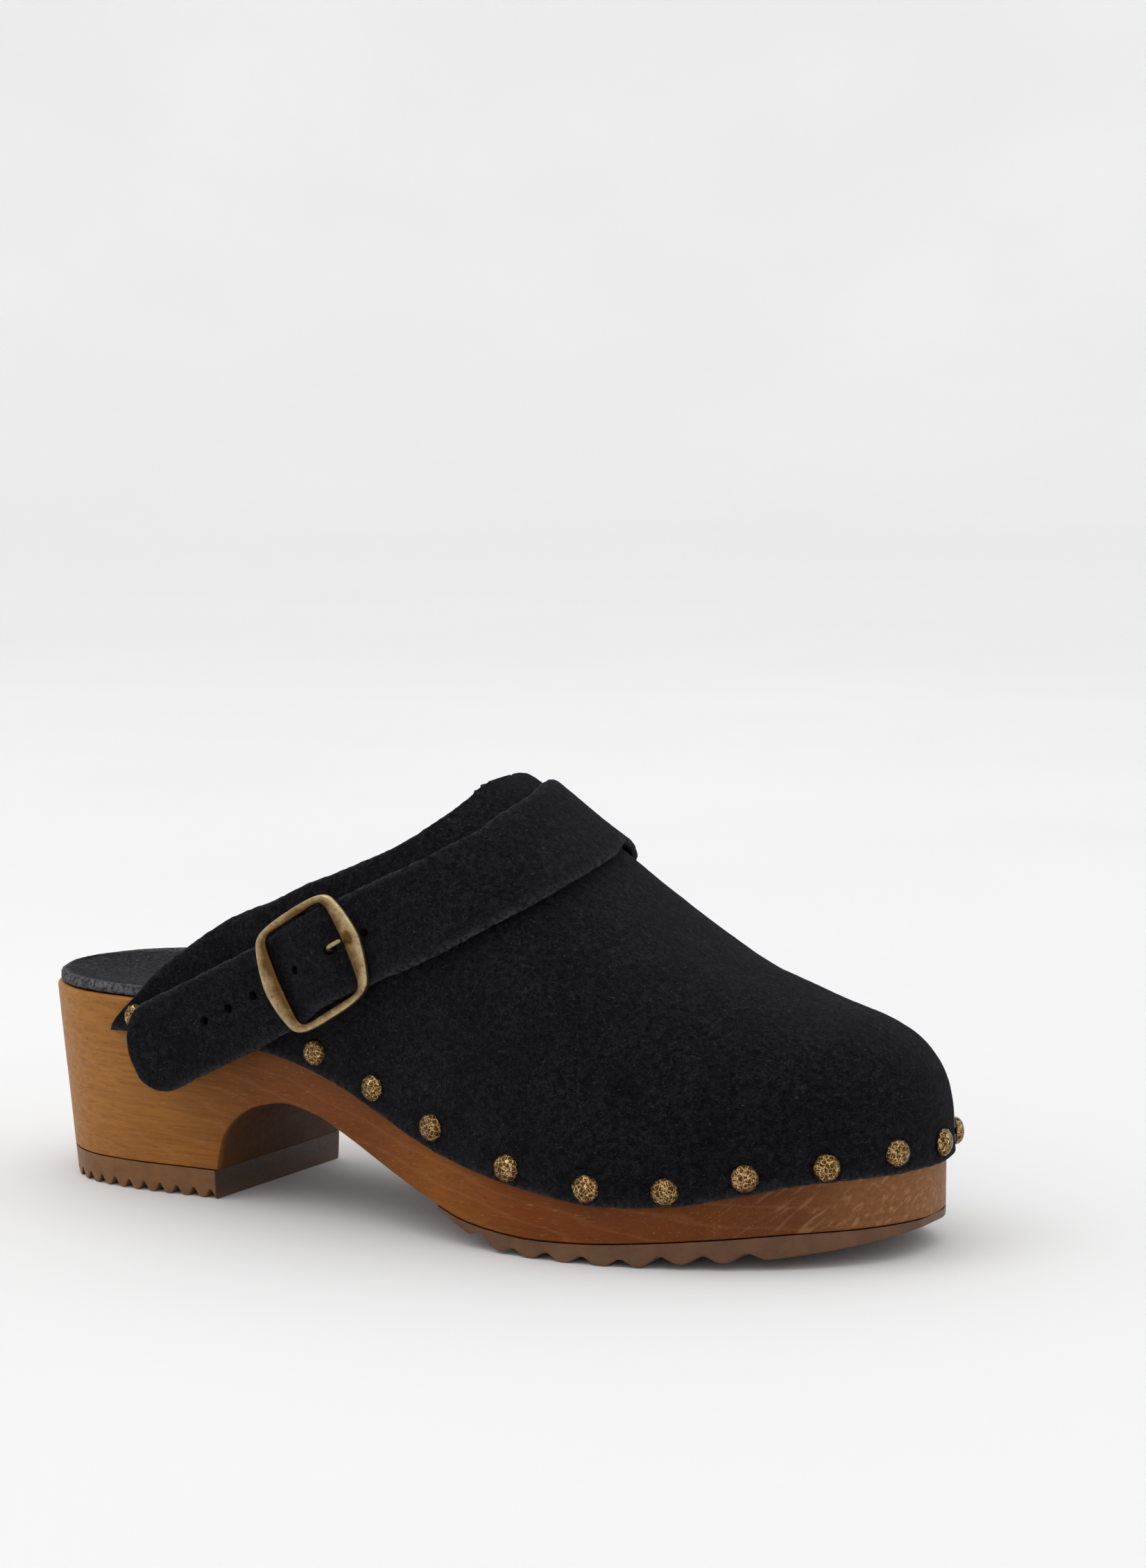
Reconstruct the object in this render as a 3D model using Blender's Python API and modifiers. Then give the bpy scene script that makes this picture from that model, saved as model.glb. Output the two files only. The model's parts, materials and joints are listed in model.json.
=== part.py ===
"""Wooden clog for the right foot, as separate parts: wooden sole, two rubber treads, insole cover, suede vamp
with its toe puff, nails, and a strap whose buckle hangs on a chape.

Metres, with +X to the toe, +Y to the inner side of the foot and +Z up. The floor is z = 0.
The dimensions below are in millimetres, measured from the back of the heel (x), the middle of the heel (y)
and the floor (z). An empty moves the whole clog so that the origin is under the middle of it.
"""

import math

import bmesh
import bpy
from mathutils import Matrix, Vector

MM = 0.001
OBJECT_NAME = "wooden_clog"
CENTRE_X, CENTRE_Y = 126.1, 1.2  # the middle of the finished clog's box
OUTER, INNER = -1, 1  # the two sides of the foot: outer is -Y, inner is +Y

# Sole, seen from above: heel, waist, ball, toe and back again.
SOLE_PLAN = [
    (0, 0), (6, -18.5), (19, -29.5), (36, -33), (60, -32.5), (85, -33), (110, -36.5), (135, -41.5),
    (160, -45), (183, -44), (206, -37), (225, -26), (240, -11.5), (247.5, 6), (245, 22), (234, 34.5),
    (215, 42.5), (190, 47), (165, 47), (140, 42), (110, 34), (85, 31), (60, 31.5), (36, 32.5),
    (19, 29.5), (6, 18.5),
]  # fmt: skip
SOLE_LENGTH = 247.5
# Height of the footbed's rim, and how far its middle is hollowed.
FOOTBED_RIM = [(0, 51), (60, 51), (85, 49.5), (100, 46.5), (118, 40), (138, 32), (154, 28), (175, 24.5),
               (195, 24.5), (215, 26.5), (235, 29), (250, 31)]  # fmt: skip
FOOTBED_DISH = [(0, 0.5), (20, 2.5), (60, 3), (120, 1), (190, 2), (235, 1.5), (250, 0.5)]
# Underside of the wood: heel seat, breast of the heel, arch, forepart and toe spring.
HEEL_BREAST = 63.7
WOOD_UNDER = [(64.3, 7.8), (65.7, 14), (67.7, 18.5), (70.6, 21.7), (74.2, 24.4), (78.5, 26.2), (87.2, 27.9),
              (97.5, 26.4), (106.6, 22.9), (122.3, 15.9), (137.2, 9.9), (146, 6.9), (157, 5.4), (166, 4.8),
              (180, 5.2), (196, 6.4), (210, 7.6), (229, 9), (250, 9.5)]  # fmt: skip
HEEL_TREAD_TOP = 7.5
HEEL_TAPER = 0.1  # how much narrower the heel is at the floor
HEEL_UNDERCUT = 6.0  # how far the heel's back slopes in
EDGE_ROUND = 1.0
GAP = 0.3  # between fixed neighbours

# Treads.
HEEL_GROOVES, HEEL_GROOVE_DEPTH, HEEL_LAND = 12, 2.8, 1.6
FORE_TREAD_START, FORE_TREAD_END = 138.0, 247.0
FORE_TREAD_UNDER = [(138, 8.6), (146, 4.4), (154, 1.6), (161, 0), (189, 0), (198.5, 1.2), (210, 1.8),
                    (222.7, 2.9), (240, 5.5), (247, 7.2)]  # fmt: skip
TOOTH_PITCH, TOOTH_DEPTH, TOOTH_LAND = 9.4, 2.2, 2.4
TEETH_START, TEETH_END = 148.0, 224.0

# Insole cover.
INSOLE_THICK, INSOLE_INSET = 3.0, 1.0

# Vamp. Its edge stands this far outside the wood, and it rises to a ridge over the foot.
VAMP_THICK, VAMP_STANDOFF = 1.8, 2.3
VAMP_EDGE = [(20, 42.2), (38, 42.3), (60, 42.4), (82.5, 40.9), (92.7, 39.1), (107, 35.1), (118, 30.8),
             (138.3, 22.9), (153.5, 19.3), (166, 16.9), (184, 14.7), (203, 15.8), (213.7, 17.8),
             (232, 21.1), (252, 22.2)]  # fmt: skip
RIDGE = [(0, 193), (60, 156.8), (100, 132.4), (118, 120.4), (138, 106.6), (150, 97.7), (165, 86.2),
         (180, 76.3), (200, 65.6), (225, 59.2), (252, 58.6)]  # fmt: skip
RIDGE_Y = 4.0
TOE_CENTRE_X = 196.0  # behind it the vamp is built across the foot, ahead of it as a fan
SQUARENESS = [(60, 2.4), (130, 2.4), (196, 2.6), (252, 2.6)]  # exponent of the vamp's section
TOE_SQUARENESS = 3.26
# Top edge of the vamp: distance from the heel, and angle round the section (90 degrees is the ridge).
TOPLINE = [(35.8, 0.4), (39.6, 1.6), (43.7, 2.9), (48.8, 5), (60.5, 9.2), (74, 14.5), (84, 18.3), (93, 23.2),
           (102.6, 28.9), (113.4, 37.3), (121.4, 46), (127.9, 57.6), (131.5, 70), (132.3, 90)]  # fmt: skip
WING_START = 34.8
WING_COLUMNS, RIDGE_COLUMNS, FAN_COLUMNS, VAMP_ROWS = 26, 7, 14, 9
THROAT_FOOT = 142.0  # where the column under the throat meets the edge

# Toe puff, inside the vamp.
PUFF_THICK, PUFF_GAP, PUFF_LOW, PUFF_HIGH = 1.0, 0.5, 24.0, 72.0

# Nails: dome, shank, and their places along the edge.
NAIL_HEAD_R, NAIL_HEAD_H, NAIL_SHANK_R, NAIL_SHANK_L = 3.4, 2.1, 0.8, 11.0
NAIL_HOLE_R = 1.15
# The nails round the edge: place along the side, or angle round the toe, and height over the vamp's edge.
OUTER_NAILS = ((43.6, 4.4), (81, 4.8), (100, 5.7), (119.5, 6.2), (138.5, 6.2), (161, 4.3), (181.5, 4.4))
TOE_NAILS = ((-85, 3.9), (-60.5, 4.5), (-34.5, 3.9), (-12, 5.3), (5, 5.3), (22, 5.0), (44, 4.8), (69, 4.4))
INNER_NAILS = ((189, 4.4), (169, 4.4), (149, 5.2), (129.5, 6.2), (111, 6.0), (92.8, 5.2), (36.5, 4.4))

# Strap. It is held at both ends on one line across the clog, and swings about it.
PIVOT_X, PIVOT_Z = 60.0, 44.0
STRAP_THICK = 2.0
STRAP_HALF = [(20, 11.8), (38, 11.6), (56, 11.6), (72, 12.2), (95, 12.6), (117, 13.0), (133, 13.0),
              (145, 12.5), (160, 11.6), (230, 11.6)]  # fmt: skip
# The middle of the strap, as points on the outer half of the vamp; the inner half mirrors it.
STRAP_PATH = [(43.9, -38, 35.2), (60, -38, 44), (88, -38.4, 59.3), (113, -39.5, 73.9), (131, -38, 83.2),
              (141, -33.2, 88.8), (148.1, -25, 92.7), (151, -11, 97.2), (149.7, 4, 99)]  # fmt: skip
STRAP_SKEW = 5.5  # how much further back the strap lies on the inner side
TAIL_LENGTH, TAIL_CAP = 16.6, 9.6
INNER_END_LENGTH = 9.0
BUCKLE_AT = 48.9  # along the strap from the pivot
# Height of the strap's underside over the vamp, along the strap from the outer pivot.
STRAP_LIFT = [(-17, 3.7), (0, 3.7), (20, 3.1), (33, 2.8), (38, 2.9), (42, 3.8), (45.6, 4.75), (53.5, 4.7),
              (58, 2.9), (61, 2.0), (65, 1.7), (75, 1.5), (95, 1.3), (125, 0.9), (205, 0.9), (235, 2.1),
              (400, 2.1)]  # fmt: skip
HOLE_R, HOLES_ACROSS = 1.0, -0.6
PRONG_HOLE_AT = 55.2
OTHER_HOLES = (-45.8, -37.6, -29, -21.2, -12.7, 9.1)  # along the strap from the prong's hole

# Chape, folded round the buckle's centre bar.
CHAPE_THICK, CHAPE_END = 0.9, 5.5
CHAPE_HALF = [(0, 4.0), (12, 3.5), (29, 3.5), (43, 7.5)]  # narrow by the nails, wide at the buckle
CHAPE_LOW, CHAPE_SLOT_HALF = 0.25, 1.9
BAR_R, BAR_LIFT = 0.9, 2.3
# Buckle frame, in its own plane: along the strap, then across it.
FRAME_QUARTER = [(16.1, 0), (15.8, 2.9), (15, 6.7), (13.8, 10.3), (12.8, 12.2), (11.3, 13.4), (9.2, 14.1),
                 (5, 14.6), (0, 14.7)]  # fmt: skip
WINDOW_QUARTER = [(11.1, 0), (11.05, 2.5), (10.9, 5.5), (10.7, 8.5), (10.35, 10.5), (9.5, 11.8), (7.8, 12.4),
                  (4, 12.5), (0, 12.5)]  # fmt: skip
FRAME_THICK, FRAME_LIFT, FRAME_DROP = 2.2, 6.8, 0.6
FRAME_TILT, FRAME_LEAN, FRAME_TURN = 2.8, -1.5, -3.5  # degrees about the frame's own Y, X and Z
PRONG_R, PRONG_RING, PRONG_ACROSS = 0.8, 1.95, -0.5
TACK_HEAD_R, TACK_HEAD_H = 3.2, 0.8


# ---------------------------------------------------------------- curves and small tools


def clear_scene():
    for obj in list(bpy.data.objects):
        bpy.data.objects.remove(obj, do_unlink=True)


def profile(points, x):
    """Smooth height at x through a table of (x, height) points, held level past both ends."""
    if x <= points[0][0]:
        return points[0][1]
    if x >= points[-1][0]:
        return points[-1][1]
    i = next(k for k in range(len(points) - 1) if points[k + 1][0] >= x)
    (x0, y0), (x1, y1) = points[i], points[i + 1]
    steep = (y1 - y0) / (x1 - x0)
    before = steep if i == 0 else (y0 - points[i - 1][1]) / (x0 - points[i - 1][0])
    after = steep if i + 2 == len(points) else (points[i + 2][1] - y1) / (points[i + 2][0] - x1)
    m0, m1 = blend_slopes(before, steep), blend_slopes(steep, after)
    t, w = (x - x0) / (x1 - x0), x1 - x0
    return (
        (2 * t**3 - 3 * t**2 + 1) * y0
        + (t**3 - 2 * t**2 + t) * w * m0
        + (3 * t**2 - 2 * t**3) * y1
        + (t**3 - t**2) * w * m1
    )


def blend_slopes(a, b):
    """Slope at a table's point: none at a peak, and never much steeper than the gentler side."""
    return 0.0 if a * b <= 0 else 2 * a * b / (a + b)


def straight(points, x):
    """Height at x along straight pieces."""
    if x <= points[0][0]:
        return points[0][1]
    for (x0, y0), (x1, y1) in zip(points, points[1:]):
        if x <= x1:
            return y0 + (y1 - y0) * (x - x0) / (x1 - x0)
    return points[-1][1]


def smooth_path(points, steps, closed=False):
    """Points of a centripetal Catmull-Rom curve through the given Vectors, with steps per stretch."""
    n = len(points)
    ends = points if closed else [2 * points[0] - points[1]] + points + [2 * points[-1] - points[-2]]
    found = []
    for i in range(n if closed else n - 1):
        p = [ends[(i + k - 1) % n] if closed else ends[i + k] for k in range(4)]
        t = [0.0]
        for a, b in zip(p, p[1:]):
            t.append(t[-1] + max((b - a).length, 1e-9) ** 0.5)
        for s in range(steps):
            at = t[1] + (t[2] - t[1]) * s / steps
            a1, a2, a3 = (between(p[k], p[k + 1], t[k], t[k + 1], at) for k in range(3))
            b1, b2 = between(a1, a2, t[0], t[2], at), between(a2, a3, t[1], t[3], at)
            found.append(between(b1, b2, t[1], t[2], at))
    return found if closed else found + [points[-1].copy()]


def between(a, b, ta, tb, t):
    return a.lerp(b, (t - ta) / (tb - ta))


def rounded_steps(start, end, count):
    """Places from start to end, closer together towards both ends."""
    return [start + (end - start) * (1 - math.cos(math.pi * k / count)) / 2 for k in range(count + 1)]


# ---------------------------------------------------------------- the sole's outline

PLAN = smooth_path([Vector((x, y, 0)) for x, y in SOLE_PLAN], 16, closed=True)
TIP = max(range(len(PLAN)), key=lambda k: PLAN[k].x)


def grown_plan(distance):
    """The sole's outline moved outwards, as two runs from heel to toe: outer side, inner side."""
    n = len(PLAN)
    moved = []
    for k, p in enumerate(PLAN):
        along = (PLAN[(k + 1) % n] - PLAN[k - 1]).normalized()
        moved.append(p + Vector((along.y, -along.x, 0)) * -distance * plan_turn())
    return {OUTER: moved[: TIP + 1], INNER: [moved[0]] + moved[:TIP - 1:-1]}


def plan_turn():
    """1 if the outline runs clockwise seen from above, else -1."""
    area = sum(a.x * b.y - b.x * a.y for a, b in zip(PLAN, PLAN[1:] + PLAN[:1]))
    return 1 if area < 0 else -1


SOLE = grown_plan(0)
FEATHER = grown_plan(VAMP_STANDOFF)


def side_y(runs, side, x):
    run = runs[side]
    return straight([(p.x, p.y) for p in run if p.x >= -1], x)


def tapered(p):
    """Leans the heel's walls in towards the floor."""
    down = max(0.0, (FOOTBED_RIM[0][1] - p.z) / FOOTBED_RIM[0][1])
    back = max(0.0, 1 - p.x / HEEL_BREAST)
    narrow = min(1.0, max(0.0, (100 - p.x) / 35))
    return Vector((p.x + HEEL_UNDERCUT * down * back**2, p.y * (1 - HEEL_TAPER * down * narrow), p.z))


# ---------------------------------------------------------------- making objects


def new_collection(name, parent):
    collection = bpy.data.collections.new(name)
    parent.children.link(collection)
    return collection


def add_object(name, mesh, collection, material=None, parent=None):
    obj = bpy.data.objects.new(name, mesh)
    collection.objects.link(obj)
    if material:
        mesh.materials.append(material)
    if parent:
        obj.parent = parent
    return obj


def mesh_of(name, points, faces):
    """A mesh from points in millimetres, with doubled points joined and its faces turned outwards."""
    mesh = bpy.data.meshes.new(name)
    mesh.from_pydata([p * MM for p in points], [], faces)
    bm = bmesh.new()
    bm.from_mesh(mesh)
    bmesh.ops.remove_doubles(bm, verts=bm.verts, dist=0.00001)
    bmesh.ops.recalc_face_normals(bm, faces=bm.faces)
    bm.to_mesh(mesh)
    bm.free()
    return mesh


def loft(name, sections):
    """A solid through rings of the same number of points, with both end rings filled."""
    ring = len(sections[0])
    points = [p for section in sections for p in section]
    faces = [tuple(range(ring)), tuple(range(len(points) - ring, len(points)))]
    for s in range(len(sections) - 1):
        for k in range(ring):
            a, b = s * ring + k, s * ring + (k + 1) % ring
            faces.append((a, b, b + ring, a + ring))
    return mesh_of(name, points, faces)


def smooth(obj, degrees=40):
    obj.data.shade_smooth()
    obj.data.set_sharp_from_angle(angle=math.radians(degrees))


def principled(name, colour, roughness, metallic=0.0):
    material = bpy.data.materials.new(name)
    material.use_nodes = True
    shader = material.node_tree.nodes["Principled BSDF"]
    shader.inputs["Base Color"].default_value = (*colour, 1)
    shader.inputs["Roughness"].default_value = roughness
    shader.inputs["Metallic"].default_value = metallic
    return material


def hide(obj):
    """A helper or cutter is kept as a wire and left out of renders."""
    obj.hide_render = True
    obj.display_type = "WIRE"


def boolean(obj, other, operation, name):
    modifier = obj.modifiers.new(name, "BOOLEAN")
    modifier.operation = operation
    modifier.solver = "EXACT"
    modifier.object = other


def evaluated_mesh(obj):
    """The object's mesh after its modifiers, in its own space."""
    graph = bpy.context.evaluated_depsgraph_get()
    return bpy.data.meshes.new_from_object(obj.evaluated_get(graph))


# ---------------------------------------------------------------- sole, treads and insole


def section(x, low, high_edge, dish, inset, edge):
    """One ring across the foot at x: a flat underside, upright walls and a hollowed top."""
    outer = side_y(SOLE, OUTER, x) + inset
    inner = side_y(SOLE, INNER, x) - inset
    middle, half = (outer + inner) / 2, max((inner - outer) / 2, 0.2)
    round_low = min(edge, half * 0.4, (high_edge - low) * 0.3)
    across = [-1, -0.8, -0.45, 0, 0.45, 0.8, 1]
    top = [
        Vector((x, middle + (half - round_low) * t, high_edge - dish * (1 - t * t))) for t in across
    ]
    return top + [
        Vector((x, middle + half, high_edge - round_low)),
        Vector((x, middle + half, low + round_low)),
        Vector((x, middle + half - round_low, low)),
        Vector((x, middle - half + round_low, low)),
        Vector((x, middle - half, low + round_low)),
        Vector((x, middle - half, high_edge - round_low)),
    ]


def wood_under(x):
    return HEEL_TREAD_TOP + GAP if x <= HEEL_BREAST else profile(WOOD_UNDER, x)


def wooden_sole(material, collection, parent):
    places = rounded_steps(0.1, SOLE_LENGTH - 0.1, 34)
    fixed = [HEEL_BREAST] + [x for x, _ in WOOD_UNDER if HEEL_BREAST < x < 110]
    places = sorted(fixed + [x for x in places if all(abs(x - f) > 0.6 for f in fixed)])
    rings = []
    for x in places:
        rim, dish = profile(FOOTBED_RIM, x), profile(FOOTBED_DISH, x)
        rings.append([tapered(p) for p in section(x, wood_under(x), rim, dish, 0, EDGE_ROUND)])
    obj = add_object("wooden_sole", loft("wooden_sole", rings), collection, material, parent)
    smooth(obj)
    return obj


def insole_cover(material, collection, parent):
    rings = []
    for x in rounded_steps(INSOLE_INSET + 0.1, SOLE_LENGTH - INSOLE_INSET - 0.6, 30):
        rim, dish = profile(FOOTBED_RIM, x), profile(FOOTBED_DISH, x)
        ring = section(x, rim + GAP, rim + INSOLE_THICK, dish, INSOLE_INSET, 0.8)
        rings.append(follow_dish(ring, rim, dish))
    obj = add_object("insole_cover", loft("insole_cover", rings), collection, material, parent)
    smooth(obj)


def follow_dish(ring, rim, dish):
    """Gives the ring's underside the hollow of its top, so that it lies on the footbed."""
    top, walls = ring[:7], ring[7:]
    low_points = [Vector((p.x, p.y, p.z - INSOLE_THICK + GAP)) for p in reversed(top)]
    return top + walls[0:2] + low_points + walls[4:6]


def tread(name, places, under, top, material, collection, parent):
    """A ribbed rubber sole: its underside follows the places along the foot."""
    rings = []
    for x in places:
        half = (side_y(SOLE, INNER, x) - side_y(SOLE, OUTER, x)) / 2
        middle = (side_y(SOLE, INNER, x) + side_y(SOLE, OUTER, x)) / 2
        low, high = under(x), top(x)
        ring = [Vector((x, middle + half * a, z)) for a, z in ((-1, low), (1, low), (1, high), (-1, high))]
        rings.append([tapered(p) for p in ring])
    obj = add_object(name, loft(name, rings), collection, material, parent)
    smooth(obj, 20)


def heel_tread(material, collection, parent):
    pitch = HEEL_BREAST / HEEL_GROOVES
    points = [(0.1, 0.0)]
    for k in range(HEEL_GROOVES):
        start = pitch * k + HEEL_LAND
        points += [(start, 0.0), ((start + pitch * (k + 1)) / 2, HEEL_GROOVE_DEPTH), (pitch * (k + 1), 0.0)]
    points[-1] = (HEEL_BREAST, 0.0)
    extra = [x for x in (1.0, 4.0, 7.0) if all(abs(x - p[0]) > 0.3 for p in points)]
    places = sorted([x for x, _ in points] + extra)
    tread("heel_tread", places, lambda x: straight(points, x), lambda x: HEEL_TREAD_TOP,
          material, collection, parent)  # fmt: skip


def forepart_tread(material, collection, parent):
    teeth = [(TEETH_START, 0.0)]
    while teeth[-1][0] + TOOTH_PITCH < TEETH_END:
        start = teeth[-1][0]
        valley = start + (TOOTH_PITCH - TOOTH_LAND) / 2
        teeth += [(valley, TOOTH_DEPTH), (start + TOOTH_PITCH - TOOTH_LAND, 0.0), (start + TOOTH_PITCH, 0.0)]
    steps = rounded_steps(FORE_TREAD_START, FORE_TREAD_END, 24)
    places = sorted([x for x, _ in teeth] + [x for x in steps if all(abs(x - t[0]) > 0.5 for t in teeth)])
    tread("forepart_tread", places, lambda x: straight(FORE_TREAD_UNDER, x) + straight(teeth, x),
          lambda x: wood_under(x) - GAP, material, collection, parent)  # fmt: skip


# ---------------------------------------------------------------- vamp


def vamp_point(x, foot, angle, exponent):
    """A point of the vamp's outer face: its section stands on the edge point foot and ends on the ridge."""
    base = Vector((min(foot.x, TOE_CENTRE_X) if foot.x > TOE_CENTRE_X else x, RIDGE_Y, 0))
    out = math.cos(angle) ** (2 / exponent)
    up = math.sin(angle) ** (2 / exponent)
    place = base.lerp(foot, out)
    low = profile(VAMP_EDGE, foot.x)
    return Vector((place.x, place.y, low + (profile(RIDGE, place.x) - low) * up))


def side_point(side, x, degrees):
    foot = Vector((x, side_y(FEATHER, side, x), 0))
    return vamp_point(x, foot, math.radians(degrees), profile(SQUARENESS, x))


def fan_foot(degrees):
    """The point of the edge seen from the fan's centre, at an angle from straight ahead."""
    loop = [p for p in FEATHER[OUTER] + FEATHER[INNER][-2::-1] if p.x > TOE_CENTRE_X - 12]
    turns = [math.degrees(math.atan2(p.y - RIDGE_Y, p.x - TOE_CENTRE_X)) for p in loop]
    k = next(i for i in range(len(loop) - 1) if turns[i] <= degrees < turns[i + 1])
    return loop[k].lerp(loop[k + 1], (degrees - turns[k]) / (turns[k + 1] - turns[k]))


def fan_point(degrees_round, degrees_up):
    foot = fan_foot(degrees_round)
    ahead = math.cos(math.radians(degrees_round)) ** 2
    exponent = profile(SQUARENESS, TOE_CENTRE_X) * (1 - ahead) + TOE_SQUARENESS * ahead
    return vamp_point(foot.x, foot, math.radians(degrees_up), exponent)


def topline_point(share):
    """Distance from the heel and angle of the top edge, at a share of the way from wing to throat."""
    line = smooth_path([Vector((x, angle, 0)) for x, angle in TOPLINE], 6)
    start, end = line[0].x + line[0].y, line[-1].x + line[-1].y
    shares = [(p.x + p.y - start) / (end - start) for p in line]
    k = next(i for i in range(len(line) - 1) if shares[i + 1] >= share - 1e-9)
    return line[k].lerp(line[k + 1], (share - shares[k]) / (shares[k + 1] - shares[k]))


def side_column(side, foot_x, top_x, top_angle):
    """Points from the edge at foot_x up to the section place top_x, top_angle."""
    rows = [r / VAMP_ROWS for r in range(VAMP_ROWS + 1)]
    return [side_point(side, foot_x + (top_x - foot_x) * r, top_angle * r) for r in rows]


def half_columns(side):
    """Columns of one side, from the back of the wing to the middle of the toe, each from edge to top."""
    grid = []
    for k in range(WING_COLUMNS + 1):
        share = k / WING_COLUMNS
        top = topline_point(share)
        grid.append(side_column(side, WING_START + (THROAT_FOOT - WING_START) * share, top.x, top.y))
    throat_x = TOPLINE[-1][0]
    for k in range(1, RIDGE_COLUMNS + 1):
        share = k / RIDGE_COLUMNS
        foot_x = THROAT_FOOT + (TOE_CENTRE_X - THROAT_FOOT) * share
        grid.append(side_column(side, foot_x, throat_x + (TOE_CENTRE_X - throat_x) * share, 90.0))
    for k in range(1, FAN_COLUMNS + 1):
        turn = side * 90 * (1 - k / FAN_COLUMNS)
        grid.append([fan_point(turn, 90 * r / VAMP_ROWS) for r in range(VAMP_ROWS + 1)])
    return grid


def sheet(name, grid):
    """An open surface through columns of the same number of points."""
    rows = len(grid[0])
    points = [p for column in grid for p in column]
    faces = []
    for c in range(len(grid) - 1):
        for r in range(rows - 1):
            a = c * rows + r
            faces.append((a, a + rows, a + rows + 1, a + 1))
    return mesh_of(name, points, faces)


def thicken(obj, thickness):
    modifier = obj.modifiers.new("thickness", "SOLIDIFY")
    modifier.thickness = thickness * MM
    modifier.offset = -1
    modifier.use_even_offset = True


def vamp(material, collection, parent):
    grid = half_columns(OUTER) + half_columns(INNER)[::-1][1:]
    obj = add_object("vamp", sheet("vamp", grid), collection, material, parent)
    face_outwards(obj)
    thicken(obj, VAMP_THICK)
    smooth(obj)
    return obj


def face_outwards(obj):
    """An open shell's faces are turned so that the ones over the foot look up."""
    highest = max(obj.data.polygons, key=lambda face: face.center.z)
    if highest.normal.z < 0:
        obj.data.flip_normals()


def toe_puff(material, collection, parent):
    grid = []
    for k in range(17):
        turn = -84 + 168 * k / 16
        grid.append([fan_point(turn, PUFF_LOW + (PUFF_HIGH - PUFF_LOW) * r / 5) for r in range(6)])
    obj = add_object("toe_puff", sheet("toe_puff", grid), collection, material, parent)
    face_outwards(obj)
    inside = VAMP_THICK + PUFF_GAP
    obj.data.update()
    normals = [v.normal.copy() for v in obj.data.vertices]
    for vertex, normal in zip(obj.data.vertices, normals):
        vertex.co -= normal * inside * MM
    thicken(obj, PUFF_THICK)
    smooth(obj)


# ---------------------------------------------------------------- nails


def lathe(name, outline, segments):
    """A turned solid along +Z from (radius, height) points, which run from the axis to the axis."""
    bm = bmesh.new()
    points = [bm.verts.new((r * MM, 0, z * MM)) for r, z in outline]
    edges = [bm.edges.new(pair) for pair in zip(points, points[1:])]
    bmesh.ops.spin(bm, geom=points + edges, axis=(0, 0, 1), cent=(0, 0, 0), angle=math.tau, steps=segments)
    bmesh.ops.remove_doubles(bm, verts=bm.verts, dist=0.00001)
    bmesh.ops.recalc_face_normals(bm, faces=bm.faces)
    mesh = bpy.data.meshes.new(name)
    bm.to_mesh(mesh)
    bm.free()
    return mesh


def dome_nail_mesh():
    dome = [(NAIL_HEAD_R * math.sin(a), NAIL_HEAD_H * math.cos(a)) for a in (0, 0.7, 1.2, math.pi / 2)]
    shank = [(NAIL_SHANK_R, 0), (NAIL_SHANK_R, -NAIL_SHANK_L), (0, -NAIL_SHANK_L)]
    return lathe("dome_nail", dome + shank, 10)


def tack_mesh():
    head = [(0, TACK_HEAD_H), (TACK_HEAD_R - 0.3, TACK_HEAD_H), (TACK_HEAD_R, 0.3), (TACK_HEAD_R, 0)]
    shank = [(NAIL_SHANK_R, 0), (NAIL_SHANK_R, -NAIL_SHANK_L), (0, -NAIL_SHANK_L)]
    return lathe("tack", head + shank, 10)


def place_nail(name, mesh, foot, height, lift, collection, parent):
    """A nail on the vamp's edge, pointing into the wood. Gives the hole it needs: (point, direction out)."""
    out = outward(foot)
    nail = add_object(name, mesh, collection, None, parent)
    nail.location = (foot + out * (lift + 0.25) + Vector((0, 0, height))) * MM
    nail.rotation_mode = "QUATERNION"
    nail.rotation_quaternion = Vector((0, 0, 1)).rotation_difference(out)
    smooth(nail)
    return foot + Vector((0, 0, height)), out


def outward(foot):
    """Level direction out of the sole at a point of its edge."""
    side = OUTER if foot.y < RIDGE_Y else INNER
    run = FEATHER[side]
    k = min(range(1, len(run) - 1), key=lambda i: (run[i] - foot).length)
    along = (run[k + 1] - run[k - 1]).normalized()
    out = Vector((along.y, -along.x, 0))
    return out if out.y * side > 0 or abs(along.x) < 0.3 and out.x > 0 else -out


def edge_nails(brass, collection, parent):
    """The dome nails round the vamp's edge, from the heel round the toe and back."""
    mesh = dome_nail_mesh()
    mesh.materials.append(brass)
    feet = {
        "outer": [(Vector((x, side_y(FEATHER, OUTER, x), 0)), rise) for x, rise in OUTER_NAILS],
        "toe": [(fan_foot(turn), rise) for turn, rise in TOE_NAILS],
        "inner": [(Vector((x, side_y(FEATHER, INNER, x), 0)), rise) for x, rise in INNER_NAILS],
    }
    holes = []
    for place, row in feet.items():
        for k, (foot, rise) in enumerate(row, 1):
            height = profile(VAMP_EDGE, foot.x) + rise
            holes.append(place_nail(f"nail_{place}_{k}", mesh, foot, height, 0, collection, parent))
    return holes


def pivot_nails(brass, collection, parent):
    """The nail through the strap's inner end and the tack through the chape. Gives their two holes."""
    head, tack = dome_nail_mesh(), tack_mesh()
    head.materials.append(brass)
    tack.materials.append(brass)
    inner = Vector((PIVOT_X, side_y(FEATHER, INNER, PIVOT_X), 0))
    outer = Vector((PIVOT_X, side_y(FEATHER, OUTER, PIVOT_X), 0))
    over_strap = profile(STRAP_LIFT, 400) + STRAP_THICK
    over_chape = CHAPE_LOW + 2 * CHAPE_THICK + 0.25
    return (
        place_nail("strap_nail", head, inner, PIVOT_Z, over_strap, collection, parent),
        place_nail("chape_tack", tack, outer, PIVOT_Z, over_chape, collection, parent),
    )


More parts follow.
